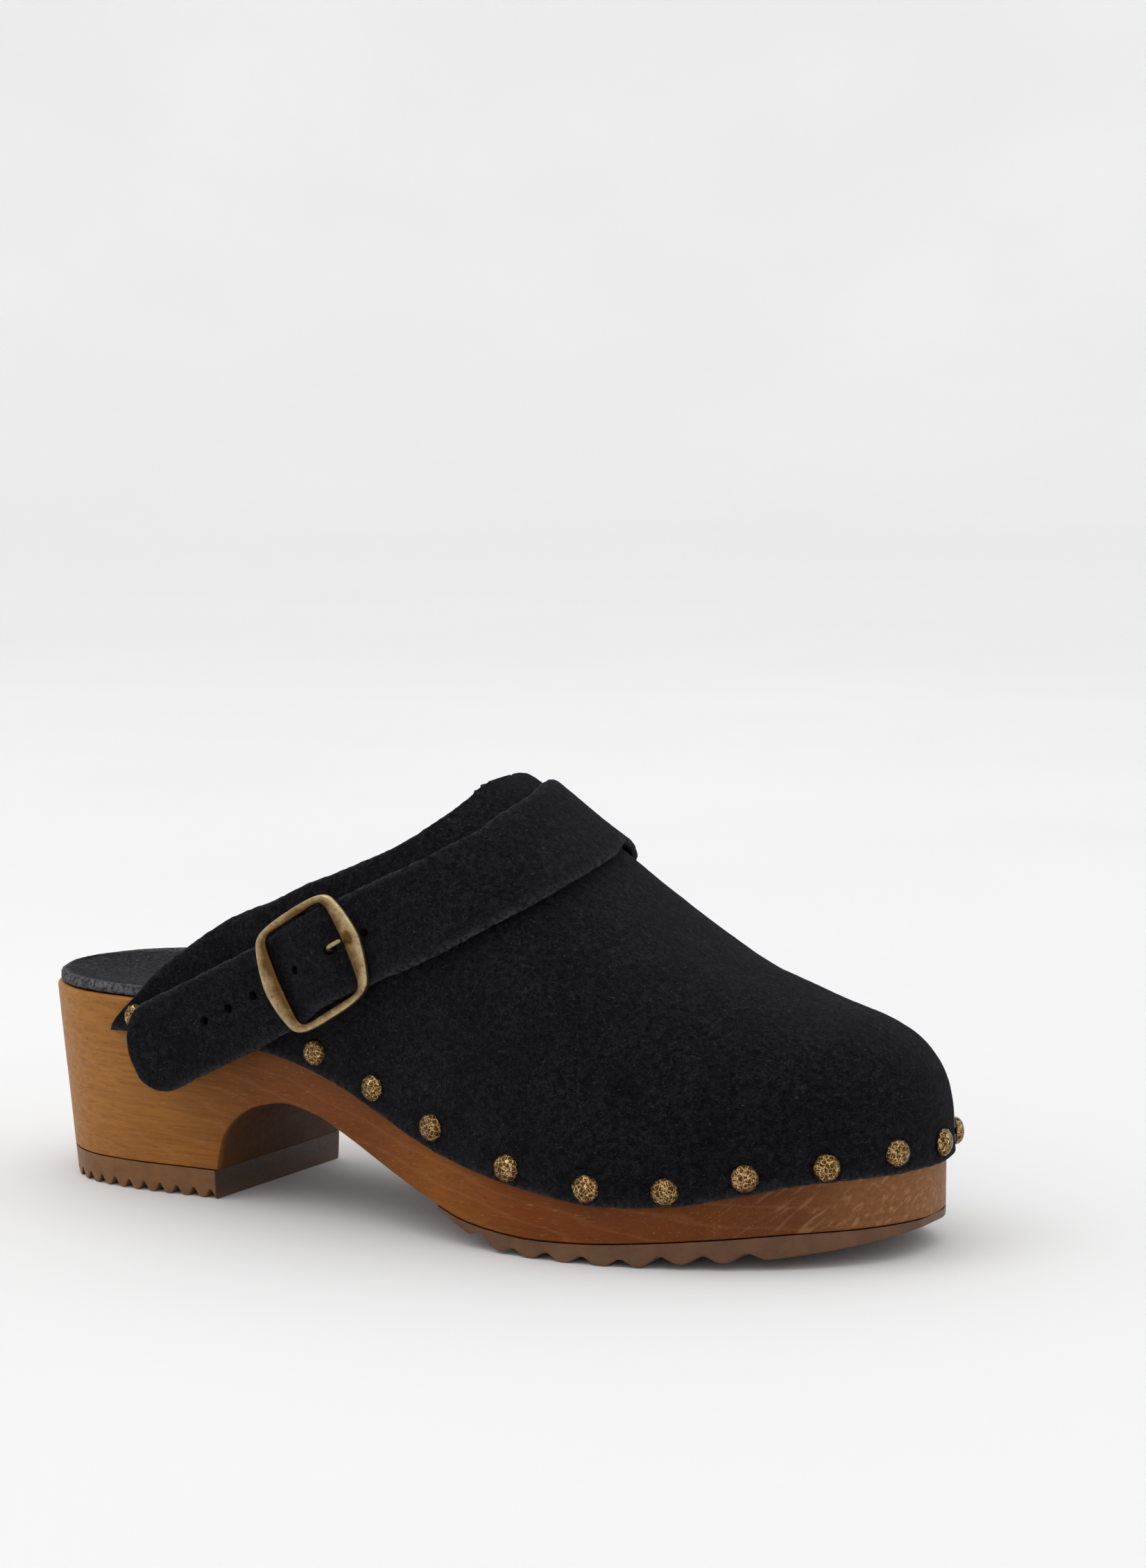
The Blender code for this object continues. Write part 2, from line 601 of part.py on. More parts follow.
def hole_cutter(name, holes, radius, outside, inside, collection):
    """One cutter made of a short rod for each hole."""
    bm = bmesh.new()
    for point, out in holes:
        middle = (point + out * (outside - inside) / 2) * MM
        turn = Vector((0, 0, 1)).rotation_difference(out).to_matrix().to_4x4()
        length, place = (outside + inside) * MM, Matrix.Translation(middle) @ turn
        bmesh.ops.create_cone(bm, cap_ends=True, segments=8, radius1=radius * MM, radius2=radius * MM,
                              depth=length, matrix=place)  # fmt: skip
    mesh = bpy.data.meshes.new(name)
    bm.to_mesh(mesh)
    bm.free()
    cutter = add_object(name, mesh, collection)
    cutter.location = Vector((-CENTRE_X, -CENTRE_Y, 0)) * MM
    hide(cutter)
    return cutter


# ---------------------------------------------------------------- strap


def section_value(p):
    """1 on the vamp's outer face, more outside it and less inside, with the face's two parts."""
    side = OUTER if p.y < RIDGE_Y else INNER
    wide = abs(side_y(FEATHER, side, p.x) - RIDGE_Y)
    low, high = profile(VAMP_EDGE, p.x), profile(RIDGE, p.x)
    n = profile(SQUARENESS, p.x)
    return (abs(p.y - RIDGE_Y) / wide) ** n + (max(0.0, p.z - low) / (high - low)) ** n, n, low


def on_vamp(p):
    """The point of the vamp's outer face nearest to p across the foot; below its edge, straight out."""
    value, n, low = section_value(p)
    scale = value ** (-1 / n)
    height = low + (p.z - low) * scale if p.z > low else p.z
    return Vector((p.x, RIDGE_Y + (p.y - RIDGE_Y) * scale, height))


def vamp_normal(p):
    step = 0.5
    slope = [
        section_value(p + axis * step)[0] - section_value(p - axis * step)[0]
        for axis in (Vector((1, 0, 0)), Vector((0, 1, 0)), Vector((0, 0, 1)))
    ]
    return Vector(slope).normalized()


def mirrored(p):
    """The place on the inner side that answers to a place on the outer side."""
    inner_half, outer_half = side_y(FEATHER, INNER, p.x) - RIDGE_Y, RIDGE_Y - side_y(FEATHER, OUTER, p.x)
    back = STRAP_SKEW * (p.z - PIVOT_Z) / (STRAP_PATH[-1][2] - PIVOT_Z)
    return Vector((p.x - back, RIDGE_Y + (RIDGE_Y - p.y) * inner_half / outer_half, p.z))


class Run:
    """The line that the strap follows over the vamp, measured from the outer pivot."""

    def __init__(self):
        outer = [Vector(p) for p in STRAP_PATH]
        inner = [mirrored(p) for p in outer[-2:0:-1]]
        end = inner[-1] + (inner[-1] - inner[-2]).normalized() * (INNER_END_LENGTH + 3)
        self.points = [on_vamp(p) for p in smooth_path(outer + inner + [end], 8)]
        self.along = [0.0]
        for a, b in zip(self.points, self.points[1:]):
            self.along.append(self.along[-1] + (b - a).length)
        self.zero = self.nearest(OUTER)
        self.inner_pivot = self.nearest(INNER) - self.zero

    def nearest(self, side):
        """Distance along the run to where it passes a pivot."""
        pivot = Vector((PIVOT_X, side_y(FEATHER, side, PIVOT_X), PIVOT_Z))
        k = min(range(len(self.points)), key=lambda i: (self.points[i] - pivot).length)
        return self.along[k]

    def at(self, distance):
        """Point on the vamp's face at a distance from the outer pivot."""
        wanted = distance + self.zero
        k = next((i for i in range(len(self.along) - 2) if self.along[i + 1] >= wanted), len(self.along) - 2)
        share = (wanted - self.along[k]) / (self.along[k + 1] - self.along[k])
        return self.points[k].lerp(self.points[k + 1], share)

    def frame(self, distance):
        """Point, and the directions along the strap, across it (towards its rear edge) and out of it."""
        here = self.at(distance)
        along = (self.at(distance + 3) - self.at(distance - 3)).normalized()
        out = vamp_normal(here)
        out = (out - along * out.dot(along)).normalized()
        return here, along, out.cross(along) * -1, out

    def place(self, distance, across, lift):
        here, _, rear, out = self.frame(distance)
        return here + rear * across + out * lift


def strap_edges(distance, run):
    """Front and rear edges of the strap at a distance, with the round tail and the round inner end."""
    past_tail = TAIL_CAP - (distance + TAIL_LENGTH)
    past_end = distance - run.inner_pivot
    half = profile(STRAP_HALF, distance)
    if past_tail > 0:
        share = math.sqrt(max(0.0, 1 - (past_tail / TAIL_CAP) ** 2))
        return 2.5 - (half + 2.5) * share, 2.5 + (half - 2.5) * share
    if past_end > 0:
        share = math.sqrt(max(0.0, 1 - (past_end / INNER_END_LENGTH) ** 2.5))
        return -half * share, half * share
    return -half, half


def strap_places(run):
    tail = [-TAIL_LENGTH + TAIL_CAP * s for s in (0.005, 0.06, 0.2, 0.4, 0.7, 1)]
    end = [run.inner_pivot + INNER_END_LENGTH * s for s in (0.3, 0.6, 0.8, 0.94, 0.995)]
    count = 44
    start = tail[-1]
    middle = [start + (run.inner_pivot - start) * k / count for k in range(1, count + 1)]
    return tail + middle + end


def strap(run, material, collection, parent, cutters):
    rings = []
    for distance in strap_places(run):
        low = profile(STRAP_LIFT, distance)
        front, rear = strap_edges(distance, run)
        corners = ((front, low), (rear, low), (rear, low + STRAP_THICK), (front, low + STRAP_THICK))
        rings.append([run.place(distance, across, lift) for across, lift in corners])
    obj = add_object("strap", loft("strap", rings), collection, material, parent)
    holes = []
    for step in OTHER_HOLES:
        distance = PRONG_HOLE_AT + step
        middle = run.place(distance, HOLES_ACROSS, profile(STRAP_LIFT, distance) + 1)
        holes.append((middle, run.frame(distance)[3]))
    boolean(obj, hole_cutter("strap_holes", holes, HOLE_R, 4, 4, cutters), "DIFFERENCE", "holes")
    return obj


# ---------------------------------------------------------------- chape, buckle and prong


def buckle_matrix(run):
    """The buckle's own frame: origin on the centre bar, +X along the strap, +Y to its rear edge, +Z out."""
    here, along, rear, out = run.frame(BUCKLE_AT)
    turn = Matrix((along, rear, out)).transposed().to_4x4()
    return Matrix.Translation(here + out * BAR_LIFT) @ turn


def chape(run, material, collection, parent, cutters):
    """A strip nailed at the pivot, laid to the centre bar, folded round it and laid back."""
    low = CHAPE_LOW + CHAPE_THICK / 2
    high = CHAPE_LOW + 1.5 * CHAPE_THICK + 0.25
    turn_r = BAR_R + 0.25 + CHAPE_THICK / 2
    flat = [(-CHAPE_END + 2.1 * k, low) for k in range(21)] + [(BUCKLE_AT - 3, low)]
    fold = [
        (BUCKLE_AT + turn_r * math.sin(a), BAR_LIFT - turn_r * math.cos(a))
        for a in (math.pi * k / 8 for k in range(9))
    ]
    back = [(BUCKLE_AT - 3, BAR_LIFT + turn_r), (BUCKLE_AT - 6.5, high + 0.8), (BUCKLE_AT - 10, high + 0.1),
            (BUCKLE_AT - 14, high)]  # fmt: skip
    back += [(-CHAPE_END + 2.1 * k, high) for k in range(15, -1, -1)]
    line = flat + fold + back
    rings = []
    for k, (distance, lift) in enumerate(line):
        before, after = line[max(0, k - 1)], line[min(len(line) - 1, k + 1)]
        length = math.hypot(after[0] - before[0], after[1] - before[1])
        lean, rise = -(after[1] - before[1]) / length, (after[0] - before[0]) / length
        half = CHAPE_THICK / 2
        ends = [(distance + lean * half * s, lift + rise * half * s) for s in (-1, 1)]
        rounding = math.sqrt(max(0.1, 1 - (min(0.0, distance) / CHAPE_END) ** 2))
        wide = profile(CHAPE_HALF, distance) * rounding
        (d0, h0), (d1, h1) = ends
        spots = ((d0, -wide, h0), (d0, wide, h0), (d1, wide, h1), (d1, -wide, h1))
        rings.append([run.place(d, across, h) for d, across, h in spots])
    obj = add_object("buckle_chape", loft("buckle_chape", rings), collection, material, parent)
    slot = box_cutter("chape_slot", (8.0, 2 * CHAPE_SLOT_HALF, 8.0), buckle_matrix(run), cutters)
    boolean(obj, slot, "DIFFERENCE", "prong_slot")
    smooth(obj, 30)
    return obj


def box_cutter(name, size, matrix, collection):
    bm = bmesh.new()
    bmesh.ops.create_cube(bm, size=1.0, matrix=Matrix.Diagonal((*(Vector(size) * MM), 1)))
    mesh = bpy.data.meshes.new(name)
    bm.to_mesh(mesh)
    bm.free()
    cutter = add_object(name, mesh, collection)
    cutter.matrix_local = Matrix.Translation(Vector((-CENTRE_X, -CENTRE_Y, 0)) * MM) @ in_metres(matrix)
    hide(cutter)
    return cutter


def in_metres(matrix):
    scaled = matrix.copy()
    scaled.translation = matrix.translation * MM
    return scaled


def cushion(quarter, steps):
    """A smooth closed outline from the points of its first quarter, mirrored into the other three."""
    half = quarter + [(-x, y) for x, y in quarter[-2::-1]]
    loop = half + [(x, -y) for x, y in half[-2:0:-1]]
    return smooth_path([Vector((x, y, 0)) for x, y in loop], steps, closed=True)


def flat_curve(name, outlines, thickness, collection):
    """A flat plate bounded by closed outlines, the later ones being holes."""
    curve = bpy.data.curves.new(name, "CURVE")
    curve.dimensions = "2D"
    curve.fill_mode = "BOTH"
    curve.extrude = thickness / 2 * MM
    for outline in outlines:
        spline = curve.splines.new("POLY")
        spline.points.add(len(outline) - 1)
        for point, place in zip(spline.points, outline):
            point.co = (place.x * MM, place.y * MM, 0, 1)
        spline.use_cyclic_u = True
    obj = bpy.data.objects.new(name, curve)
    collection.objects.link(obj)
    return obj


def curve_to_mesh(obj, name, weld=0.00002):
    """Replaces a curve object by a mesh object with its loose caps joined on."""
    bpy.context.view_layer.update()
    mesh = evaluated_mesh(obj)
    mesh.name = name
    matrix = obj.matrix_world.copy()
    collection = obj.users_collection[0]
    bpy.data.objects.remove(obj, do_unlink=True)
    bm = bmesh.new()
    bm.from_mesh(mesh)
    bmesh.ops.remove_doubles(bm, verts=bm.verts, dist=weld)
    bmesh.ops.recalc_face_normals(bm, faces=bm.faces)
    bm.to_mesh(mesh)
    bm.free()
    new = bpy.data.objects.new(name, mesh)
    collection.objects.link(new)
    new.matrix_world = matrix
    return new


def tube(name, points, radius, collection, cyclic=False, resolution=3):
    curve = bpy.data.curves.new(name, "CURVE")
    curve.dimensions = "3D"
    curve.bevel_depth = radius * MM
    curve.bevel_resolution = resolution
    curve.use_fill_caps = not cyclic
    spline = curve.splines.new("POLY")
    spline.points.add(len(points) - 1)
    for point, place in zip(spline.points, points):
        point.co = (*(place * MM), 1)
    spline.use_cyclic_u = cyclic
    obj = bpy.data.objects.new(name, curve)
    collection.objects.link(obj)
    return curve_to_mesh(obj, name)


def baked(obj, name, material, collection, parent, matrix):
    """A finished mesh object from a helper with modifiers; the helper and its cutters are kept hidden."""
    bpy.context.view_layer.update()
    mesh = evaluated_mesh(obj)
    mesh.name = name
    mesh.materials.clear()
    new = add_object(name, mesh, collection, material, parent)
    new.matrix_local = in_metres(matrix)
    return new


def buckle_frame(matrix, material, collection, parent, cutters):
    """A cushion-shaped frame with a dropped centre bar. Its origin is on the bar's axis."""
    outer, window = cushion(FRAME_QUARTER, 2), cushion(WINDOW_QUARTER, 2)
    plate = curve_to_mesh(flat_curve("frame_plate", [outer, window], FRAME_THICK, cutters), "frame_plate")
    rise = FRAME_LIFT - BAR_LIFT
    tilt = Matrix.Rotation(math.radians(FRAME_TILT), 4, "Y") @ Matrix.Rotation(math.radians(FRAME_LEAN), 4, "X")
    tilt = tilt @ Matrix.Rotation(math.radians(FRAME_TURN), 4, "Z")
    plate.data.transform(Matrix.Translation(Vector((0, FRAME_DROP, rise)) * MM) @ tilt)
    hide(plate)
    end = WINDOW_QUARTER[-1][1] + 1.0
    line = [(end, rise), (end, 1.2), (end - 0.4, 0.4), (end - 1.3, 0)]
    points = [Vector((0, y, z)) for y, z in line] + [Vector((0, -y, z)) for y, z in reversed(line)]
    points = [p + Vector((0, FRAME_DROP, 0)) for p in points]
    bar = tube("frame_bar", points, BAR_R, cutters)
    hide(bar)
    boolean(plate, bar, "UNION", "centre_bar")
    frame = baked(plate, "buckle_frame", material, collection, parent, matrix)
    smooth(frame, 35)
    return frame


def buckle_prong(matrix, material, collection, parent, cutters):
    """A ring round the centre bar, and a tongue through the strap to the frame's instep side."""
    ring_r = (BAR_R + 0.25 + PRONG_RING) / 2
    ring_wire = (PRONG_RING - BAR_R - 0.25) / 2
    circle = [Vector((ring_r * math.cos(a), PRONG_ACROSS, ring_r * math.sin(a))) for a in
              (math.tau * k / 16 for k in range(16))]  # fmt: skip
    ring = tube("prong_ring", circle, ring_wire, cutters, cyclic=True, resolution=2)
    hide(ring)
    top = FRAME_LIFT - BAR_LIFT + FRAME_THICK / 2 + PRONG_R - 0.15
    line = [(1.45, 0, 0), (2.3, 0, 0.8), (4.6, 0, 1.0), (5.8, 0, 1.9), (6.3, 0, 3.3), (7.0, 0, top - 1.2),
            (8.2, 0, top - 0.2), (9.6, 0, top), (12.0, 0, top - 0.25)]  # fmt: skip
    sideways = Vector((0, PRONG_ACROSS, 0))
    tongue = [Vector(p) + sideways for p in line]
    tongue = tube("prong_tongue", tongue, PRONG_R * 0.85, cutters, resolution=2)
    hide(tongue)
    boolean(tongue, ring, "UNION", "ring")
    prong = baked(tongue, "buckle_prong", material, collection, parent, matrix)
    smooth(prong, 35)
    return prong


def moving_empty(name, point, parent, collection):
    empty = bpy.data.objects.new(name, None)
    empty.empty_display_size = 0.01
    collection.objects.link(empty)
    empty.parent = parent
    empty.location = point * MM
    return empty


def keep_place(obj, matrix, parent_point):
    """Re-seats an object's local place after its parent was moved to parent_point."""
    shifted = matrix.copy()
    shifted.translation = matrix.translation - parent_point
    obj.matrix_local = in_metres(shifted)


def main():
    clear_scene()
    scene = bpy.context.scene
    parts = new_collection(OBJECT_NAME, scene.collection)
    cutters = new_collection("cutters", scene.collection)
    root = bpy.data.objects.new("clog", None)
    parts.objects.link(root)
    root.location = Vector((-CENTRE_X, -CENTRE_Y, 0)) * MM

    wood = principled("wood", (0.42, 0.19, 0.06), 0.45)
    rubber = principled("rubber", (0.22, 0.1, 0.035), 0.5)
    suede = principled("suede", (0.012, 0.013, 0.018), 0.95)
    insole_suede = principled("insole_suede", (0.03, 0.034, 0.045), 0.95)
    stiffener = principled("toe_puff", (0.35, 0.3, 0.22), 0.8)
    brass = principled("worn_brass", (0.42, 0.3, 0.15), 0.42, 1.0)

    sole = wooden_sole(wood, parts, root)
    heel_tread(rubber, parts, root)
    forepart_tread(rubber, parts, root)
    insole_cover(insole_suede, parts, root)
    upper = vamp(suede, parts, root)
    toe_puff(stiffener, parts, root)

    holes = edge_nails(brass, parts, root)
    strap_hole, chape_hole = pivot_nails(brass, parts, root)
    all_holes = [*holes, strap_hole, chape_hole]
    nail_cutter = hole_cutter("nail_holes", all_holes, NAIL_HOLE_R, 3, NAIL_SHANK_L + 1, cutters)
    boolean(upper, nail_cutter, "DIFFERENCE", "nail_holes")
    boolean(sole, nail_cutter, "DIFFERENCE", "nail_holes")

    run = Run()
    pivot = Vector((PIVOT_X, 0, PIVOT_Z))
    swing = moving_empty("strap_swing_axis", pivot, root, parts)
    band = strap(run, suede, parts, root, cutters)
    fold = chape(run, suede, parts, root, cutters)
    strap_cutter = hole_cutter("strap_nail_hole", [strap_hole], NAIL_HOLE_R, 6, 3, cutters)
    chape_cutter = hole_cutter("chape_tack_hole", [chape_hole], NAIL_HOLE_R, 6, 3, cutters)
    boolean(band, strap_cutter, "DIFFERENCE", "nail_hole")
    boolean(fold, chape_cutter, "DIFFERENCE", "tack_hole")
    matrix = buckle_matrix(run)
    at_prong = matrix @ Matrix.Translation((PRONG_HOLE_AT - BUCKLE_AT, PRONG_ACROSS, 2.8))
    prong_hole = box_cutter("prong_hole", (3.3, 2.8, 4.4), at_prong, cutters)
    boolean(band, prong_hole, "DIFFERENCE", "prong_hole")
    smooth(band, 30)
    for obj in (band, fold):
        obj.parent = swing
        obj.location = -pivot * MM
    frame = buckle_frame(matrix, brass, parts, root, cutters)
    prong = buckle_prong(matrix, brass, parts, root, cutters)
    for obj in (frame, prong):
        obj.parent = swing
        keep_place(obj, matrix, pivot)
    bpy.context.view_layer.update()


main()
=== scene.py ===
"""The looks of the wooden clog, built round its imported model.

Tables are in millimetres from the back of the heel (x), the middle of the heel (y) and the floor (z), as
the clog is drawn; world() carries a point into the frame's metres. Materials work in metres.
"""

import json  # noqa: E402
import math  # noqa: E402

import bmesh  # noqa: E402
import bpy  # noqa: E402
from mathutils import Matrix, Vector, noise  # noqa: E402

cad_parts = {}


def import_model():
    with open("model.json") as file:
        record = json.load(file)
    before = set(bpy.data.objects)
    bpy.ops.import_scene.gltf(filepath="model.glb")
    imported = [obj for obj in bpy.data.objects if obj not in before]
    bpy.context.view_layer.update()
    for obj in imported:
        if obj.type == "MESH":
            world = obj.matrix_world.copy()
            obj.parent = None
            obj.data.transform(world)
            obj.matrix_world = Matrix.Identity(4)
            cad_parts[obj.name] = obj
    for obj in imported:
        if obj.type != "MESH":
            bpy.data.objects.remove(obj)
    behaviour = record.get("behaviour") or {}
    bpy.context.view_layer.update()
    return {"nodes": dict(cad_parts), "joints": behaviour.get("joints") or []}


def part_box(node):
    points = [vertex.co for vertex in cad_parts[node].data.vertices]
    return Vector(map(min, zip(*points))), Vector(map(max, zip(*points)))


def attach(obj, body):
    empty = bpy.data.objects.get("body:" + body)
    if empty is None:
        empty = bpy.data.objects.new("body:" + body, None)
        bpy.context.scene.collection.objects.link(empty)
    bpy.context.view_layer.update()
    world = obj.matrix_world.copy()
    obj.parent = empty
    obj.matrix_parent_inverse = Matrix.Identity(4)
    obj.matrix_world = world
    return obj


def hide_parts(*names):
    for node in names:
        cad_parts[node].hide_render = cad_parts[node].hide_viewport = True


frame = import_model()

MM = 0.001
OUTER, INNER = -1, 1  # the two sides of the foot: outer is -Y, inner is +Y

# Sole: outline from above, footbed, hollow and underside.
SOLE_PLAN = [
    (0, 0), (6, -18.5), (19, -29.5), (36, -33), (60, -32.5), (85, -33), (110, -36.5), (135, -41.5),
    (160, -45), (183, -44), (206, -37), (225, -26), (240, -11.5), (247.5, 6), (245, 22), (234, 34.5),
    (215, 42.5), (190, 47), (165, 47), (140, 42), (110, 34), (85, 31), (60, 31.5), (36, 32.5),
    (19, 29.5), (6, 18.5),
]  # fmt: skip
SOLE_LENGTH = 247.5
FOOTBED_RIM = [(0, 51), (60, 51), (85, 49.5), (100, 46.5), (118, 40), (138, 32), (154, 28), (175, 24.5),
               (195, 24.5), (215, 26.5), (235, 29), (250, 31)]  # fmt: skip
FOOTBED_DISH = [(0, 0.5), (20, 2.5), (60, 3), (120, 1), (190, 2), (235, 1.5), (250, 0.5)]
HEEL_BREAST = 63.7
WOOD_UNDER = [(64.3, 7.8), (65.7, 14), (67.7, 18.5), (70.6, 21.7), (74.2, 24.4), (78.5, 26.2), (87.2, 27.9),
              (97.5, 26.4), (106.6, 22.9), (122.3, 15.9), (137.2, 9.9), (146, 6.9), (157, 5.4), (166, 4.8),
              (180, 5.2), (196, 6.4), (210, 7.6), (229, 9), (250, 9.5)]  # fmt: skip
HEEL_TREAD_TOP = 7.5
HEEL_TAPER, HEEL_UNDERCUT = 0.1, 6.0
TAPER_FADE, TAPER_END = 65.0, 100.0  # the heel's taper fades out between these places along the foot
GAP = 0.3

# Treads.
HEEL_GROOVES, HEEL_GROOVE_DEPTH, HEEL_LAND = 12, 2.8, 1.6
FORE_TREAD_START, FORE_TREAD_END = 138.0, 247.0
FORE_TREAD_UNDER = [(138, 8.6), (146, 4.4), (154, 1.6), (161, 0), (189, 0), (198.5, 1.2), (210, 1.8),
                    (222.7, 2.9), (240, 5.5), (247, 7.2)]  # fmt: skip
TOOTH_PITCH, TOOTH_DEPTH, TOOTH_LAND = 9.4, 2.2, 2.4
TEETH_START, TEETH_END = 148.0, 224.0

# Insole cover and vamp.
INSOLE_THICK, INSOLE_INSET = 3.0, 1.0
VAMP_THICK, VAMP_STANDOFF = 1.8, 2.3
VAMP_EDGE = [(20, 42.2), (38, 42.3), (60, 42.4), (82.5, 40.9), (92.7, 39.1), (107, 35.1), (118, 30.8),
             (138.3, 22.9), (153.5, 19.3), (166, 16.9), (184, 14.7), (203, 15.8), (213.7, 17.8),
             (232, 21.1), (252, 22.2)]  # fmt: skip
RIDGE = [(0, 193), (60, 156.8), (100, 132.4), (118, 120.4), (138, 106.6), (150, 97.7), (165, 86.2),
         (180, 76.3), (200, 65.6), (225, 59.2), (252, 58.6)]  # fmt: skip
RIDGE_Y = 4.0
TOE_CENTRE_X = 196.0
SQUARENESS = [(60, 2.4), (130, 2.4), (196, 2.6), (252, 2.6)]
TOE_SQUARENESS = 3.26
TOPLINE = [(35.8, 0.4), (39.6, 1.6), (43.7, 2.9), (48.8, 5), (60.5, 9.2), (74, 14.5), (84, 18.3), (93, 23.2),
           (102.6, 28.9), (113.4, 37.3), (121.4, 46), (127.9, 57.6), (131.5, 70), (132.3, 90)]  # fmt: skip
WING_START, THROAT_FOOT = 34.8, 142.0
WING_COLUMNS, RIDGE_COLUMNS, FAN_COLUMNS, VAMP_ROWS = 130, 44, 90, 70

# Nails.
NAIL_HEAD_R, NAIL_HEAD_H, NAIL_SHANK_R, NAIL_SHANK_L = 3.4, 2.1, 0.8, 11.0
NAIL_LIFT, STRAP_NAIL_LIFT, NAIL_HOLE_R = 0.05, 0.2, 1.0
NAIL_PULL, NAIL_PULL_REACH = 0.45, 5.5  # how deep and how far a nail draws the leather in

# Strap, measured along its run from the outer pivot.
PIVOT_X, PIVOT_Z = 60.0, 44.0
STRAP_THICK = 2.0
STRAP_HALF = [(20, 11.8), (38, 11.6), (56, 11.6), (72, 12.2), (95, 12.6), (117, 13.0), (133, 13.0),
              (145, 12.5), (160, 11.6), (230, 11.6)]  # fmt: skip
STRAP_PATH = [(43.9, -38, 35.2), (60, -38, 44), (88, -38.4, 59.3), (113, -39.5, 73.9), (131, -38, 83.2),
              (141, -33.2, 88.8), (148.1, -25, 92.7), (151, -11, 97.2), (149.7, 4, 99)]  # fmt: skip
STRAP_SKEW = 5.5
TAIL_LENGTH, TAIL_CAP, TAIL_TIP = 16.6, 9.6, 2.5  # the tip lies 2.5 below the strap's middle line
INNER_END_LENGTH = 9.0
STRAP_LIFT = [(-17, 3.7), (0, 3.7), (20, 3.1), (33, 2.8), (38, 2.9), (42, 3.8), (45.6, 4.75), (53.5, 4.7),
              (58, 2.9), (61, 2.0), (65, 1.7), (75, 1.5), (95, 1.3), (125, 0.9), (205, 0.9), (235, 2.1),
              (400, 2.1)]  # fmt: skip
PRONG_HOLE_AT, HOLE_R, HOLES_ACROSS = 55.2, 1.25, -0.6
PRONG_HOLE_R, PRONG_HOLE_SLIP, PRONG_HOLE_LIFT = 1.35, 0.35, 2.8
OTHER_HOLES = (-45.8, -37.6, -29, -21.2, -12.7, 9.1)

# Chape, buckle and prong.
BUCKLE_AT = 48.9
CHAPE_THICK, CHAPE_END, CHAPE_LOW, CHAPE_SLOT_HALF = 0.9, 5.5, 0.25, 1.9
CHAPE_HALF = [(0, 4.0), (12, 3.5), (29, 3.5), (43, 7.5)]
BAR_R, BAR_LIFT = 0.9, 2.3
BAR_PLAY = 0.25  # between the centre bar and what turns on it
FRAME_QUARTER = [(16.1, 0), (15.8, 2.9), (15, 6.7), (13.8, 10.3), (12.8, 12.2), (11.3, 13.4), (9.2, 14.1),
                 (5, 14.6), (0, 14.7)]  # fmt: skip
WINDOW_QUARTER = [(11.1, 0), (11.05, 2.5), (10.9, 5.5), (10.7, 8.5), (10.35, 10.5), (9.5, 11.8), (7.8, 12.4),
                  (4, 12.5), (0, 12.5)]  # fmt: skip
FRAME_THICK, FRAME_LIFT, FRAME_DROP = 2.2, 6.8, 0.6
FRAME_TILT, FRAME_LEAN, FRAME_TURN = 2.8, -1.5, -3.5  # degrees about the frame's own Y, X and Z
NOTCH_AT, NOTCH_DEPTH = 13.5, 0.5  # where the prong's tip rests in the frame
PRONG_R, PRONG_RING, PRONG_ACROSS = 0.8, 1.95, -0.5


# ---------------------------------------------------------------- curves


def blend_slopes(a, b):
    return 0.0 if a * b <= 0 else 2 * a * b / (a + b)


def profile(points, x):
    """Smooth height at x through a table of (x, height) points, held level past both ends."""
    if x <= points[0][0]:
        return points[0][1]
    if x >= points[-1][0]:
        return points[-1][1]
    i = next(k for k in range(len(points) - 1) if points[k + 1][0] >= x)
    (x0, y0), (x1, y1) = points[i], points[i + 1]
    steep = (y1 - y0) / (x1 - x0)
    before = steep if i == 0 else (y0 - points[i - 1][1]) / (x0 - points[i - 1][0])
    after = steep if i + 2 == len(points) else (points[i + 2][1] - y1) / (points[i + 2][0] - x1)
    m0, m1 = blend_slopes(before, steep), blend_slopes(steep, after)
    t, w = (x - x0) / (x1 - x0), x1 - x0
    rise = (3 * t**2 - 2 * t**3) * (y1 - y0)
    return y0 + rise + (t**3 - 2 * t**2 + t) * w * m0 + (t**3 - t**2) * w * m1


def straight(points, x):
    """Height at x along straight pieces."""
    if x <= points[0][0]:
        return points[0][1]
    for (x0, y0), (x1, y1) in zip(points, points[1:]):
        if x <= x1:
            return y0 + (y1 - y0) * (x - x0) / (x1 - x0)
    return points[-1][1]


def between(a, b, ta, tb, t):
    return a.lerp(b, (t - ta) / (tb - ta))


def smooth_path(points, steps, closed=False):
    """Points of a centripetal Catmull-Rom curve through the given Vectors, with steps per stretch."""
    n = len(points)
    ends = points if closed else [2 * points[0] - points[1]] + points + [2 * points[-1] - points[-2]]
    found = []
    for i in range(n if closed else n - 1):
        p = [ends[(i + k - 1) % n] if closed else ends[i + k] for k in range(4)]
        t = [0.0]
        for a, b in zip(p, p[1:]):
            t.append(t[-1] + max((b - a).length, 1e-9) ** 0.5)
        for s in range(steps):
            at = t[1] + (t[2] - t[1]) * s / steps
            a1, a2, a3 = (between(p[k], p[k + 1], t[k], t[k + 1], at) for k in range(3))
            b1, b2 = between(a1, a2, t[0], t[2], at), between(a2, a3, t[1], t[3], at)
            found.append(between(b1, b2, t[1], t[2], at))
    return found if closed else found + [points[-1].copy()]


def rounded_steps(start, end, count):
    """Places from start to end, closer together towards both ends."""
    return [start + (end - start) * (1 - math.cos(math.pi * k / count)) / 2 for k in range(count + 1)]


def rough(p, size, seed=0.0):
    """Smooth noise from -1 to 1 with features of about size millimetres."""
    return noise.noise(p / size + Vector((seed, seed * 1.7, seed * 0.3)))


# ---------------------------------------------------------------- the sole's outline

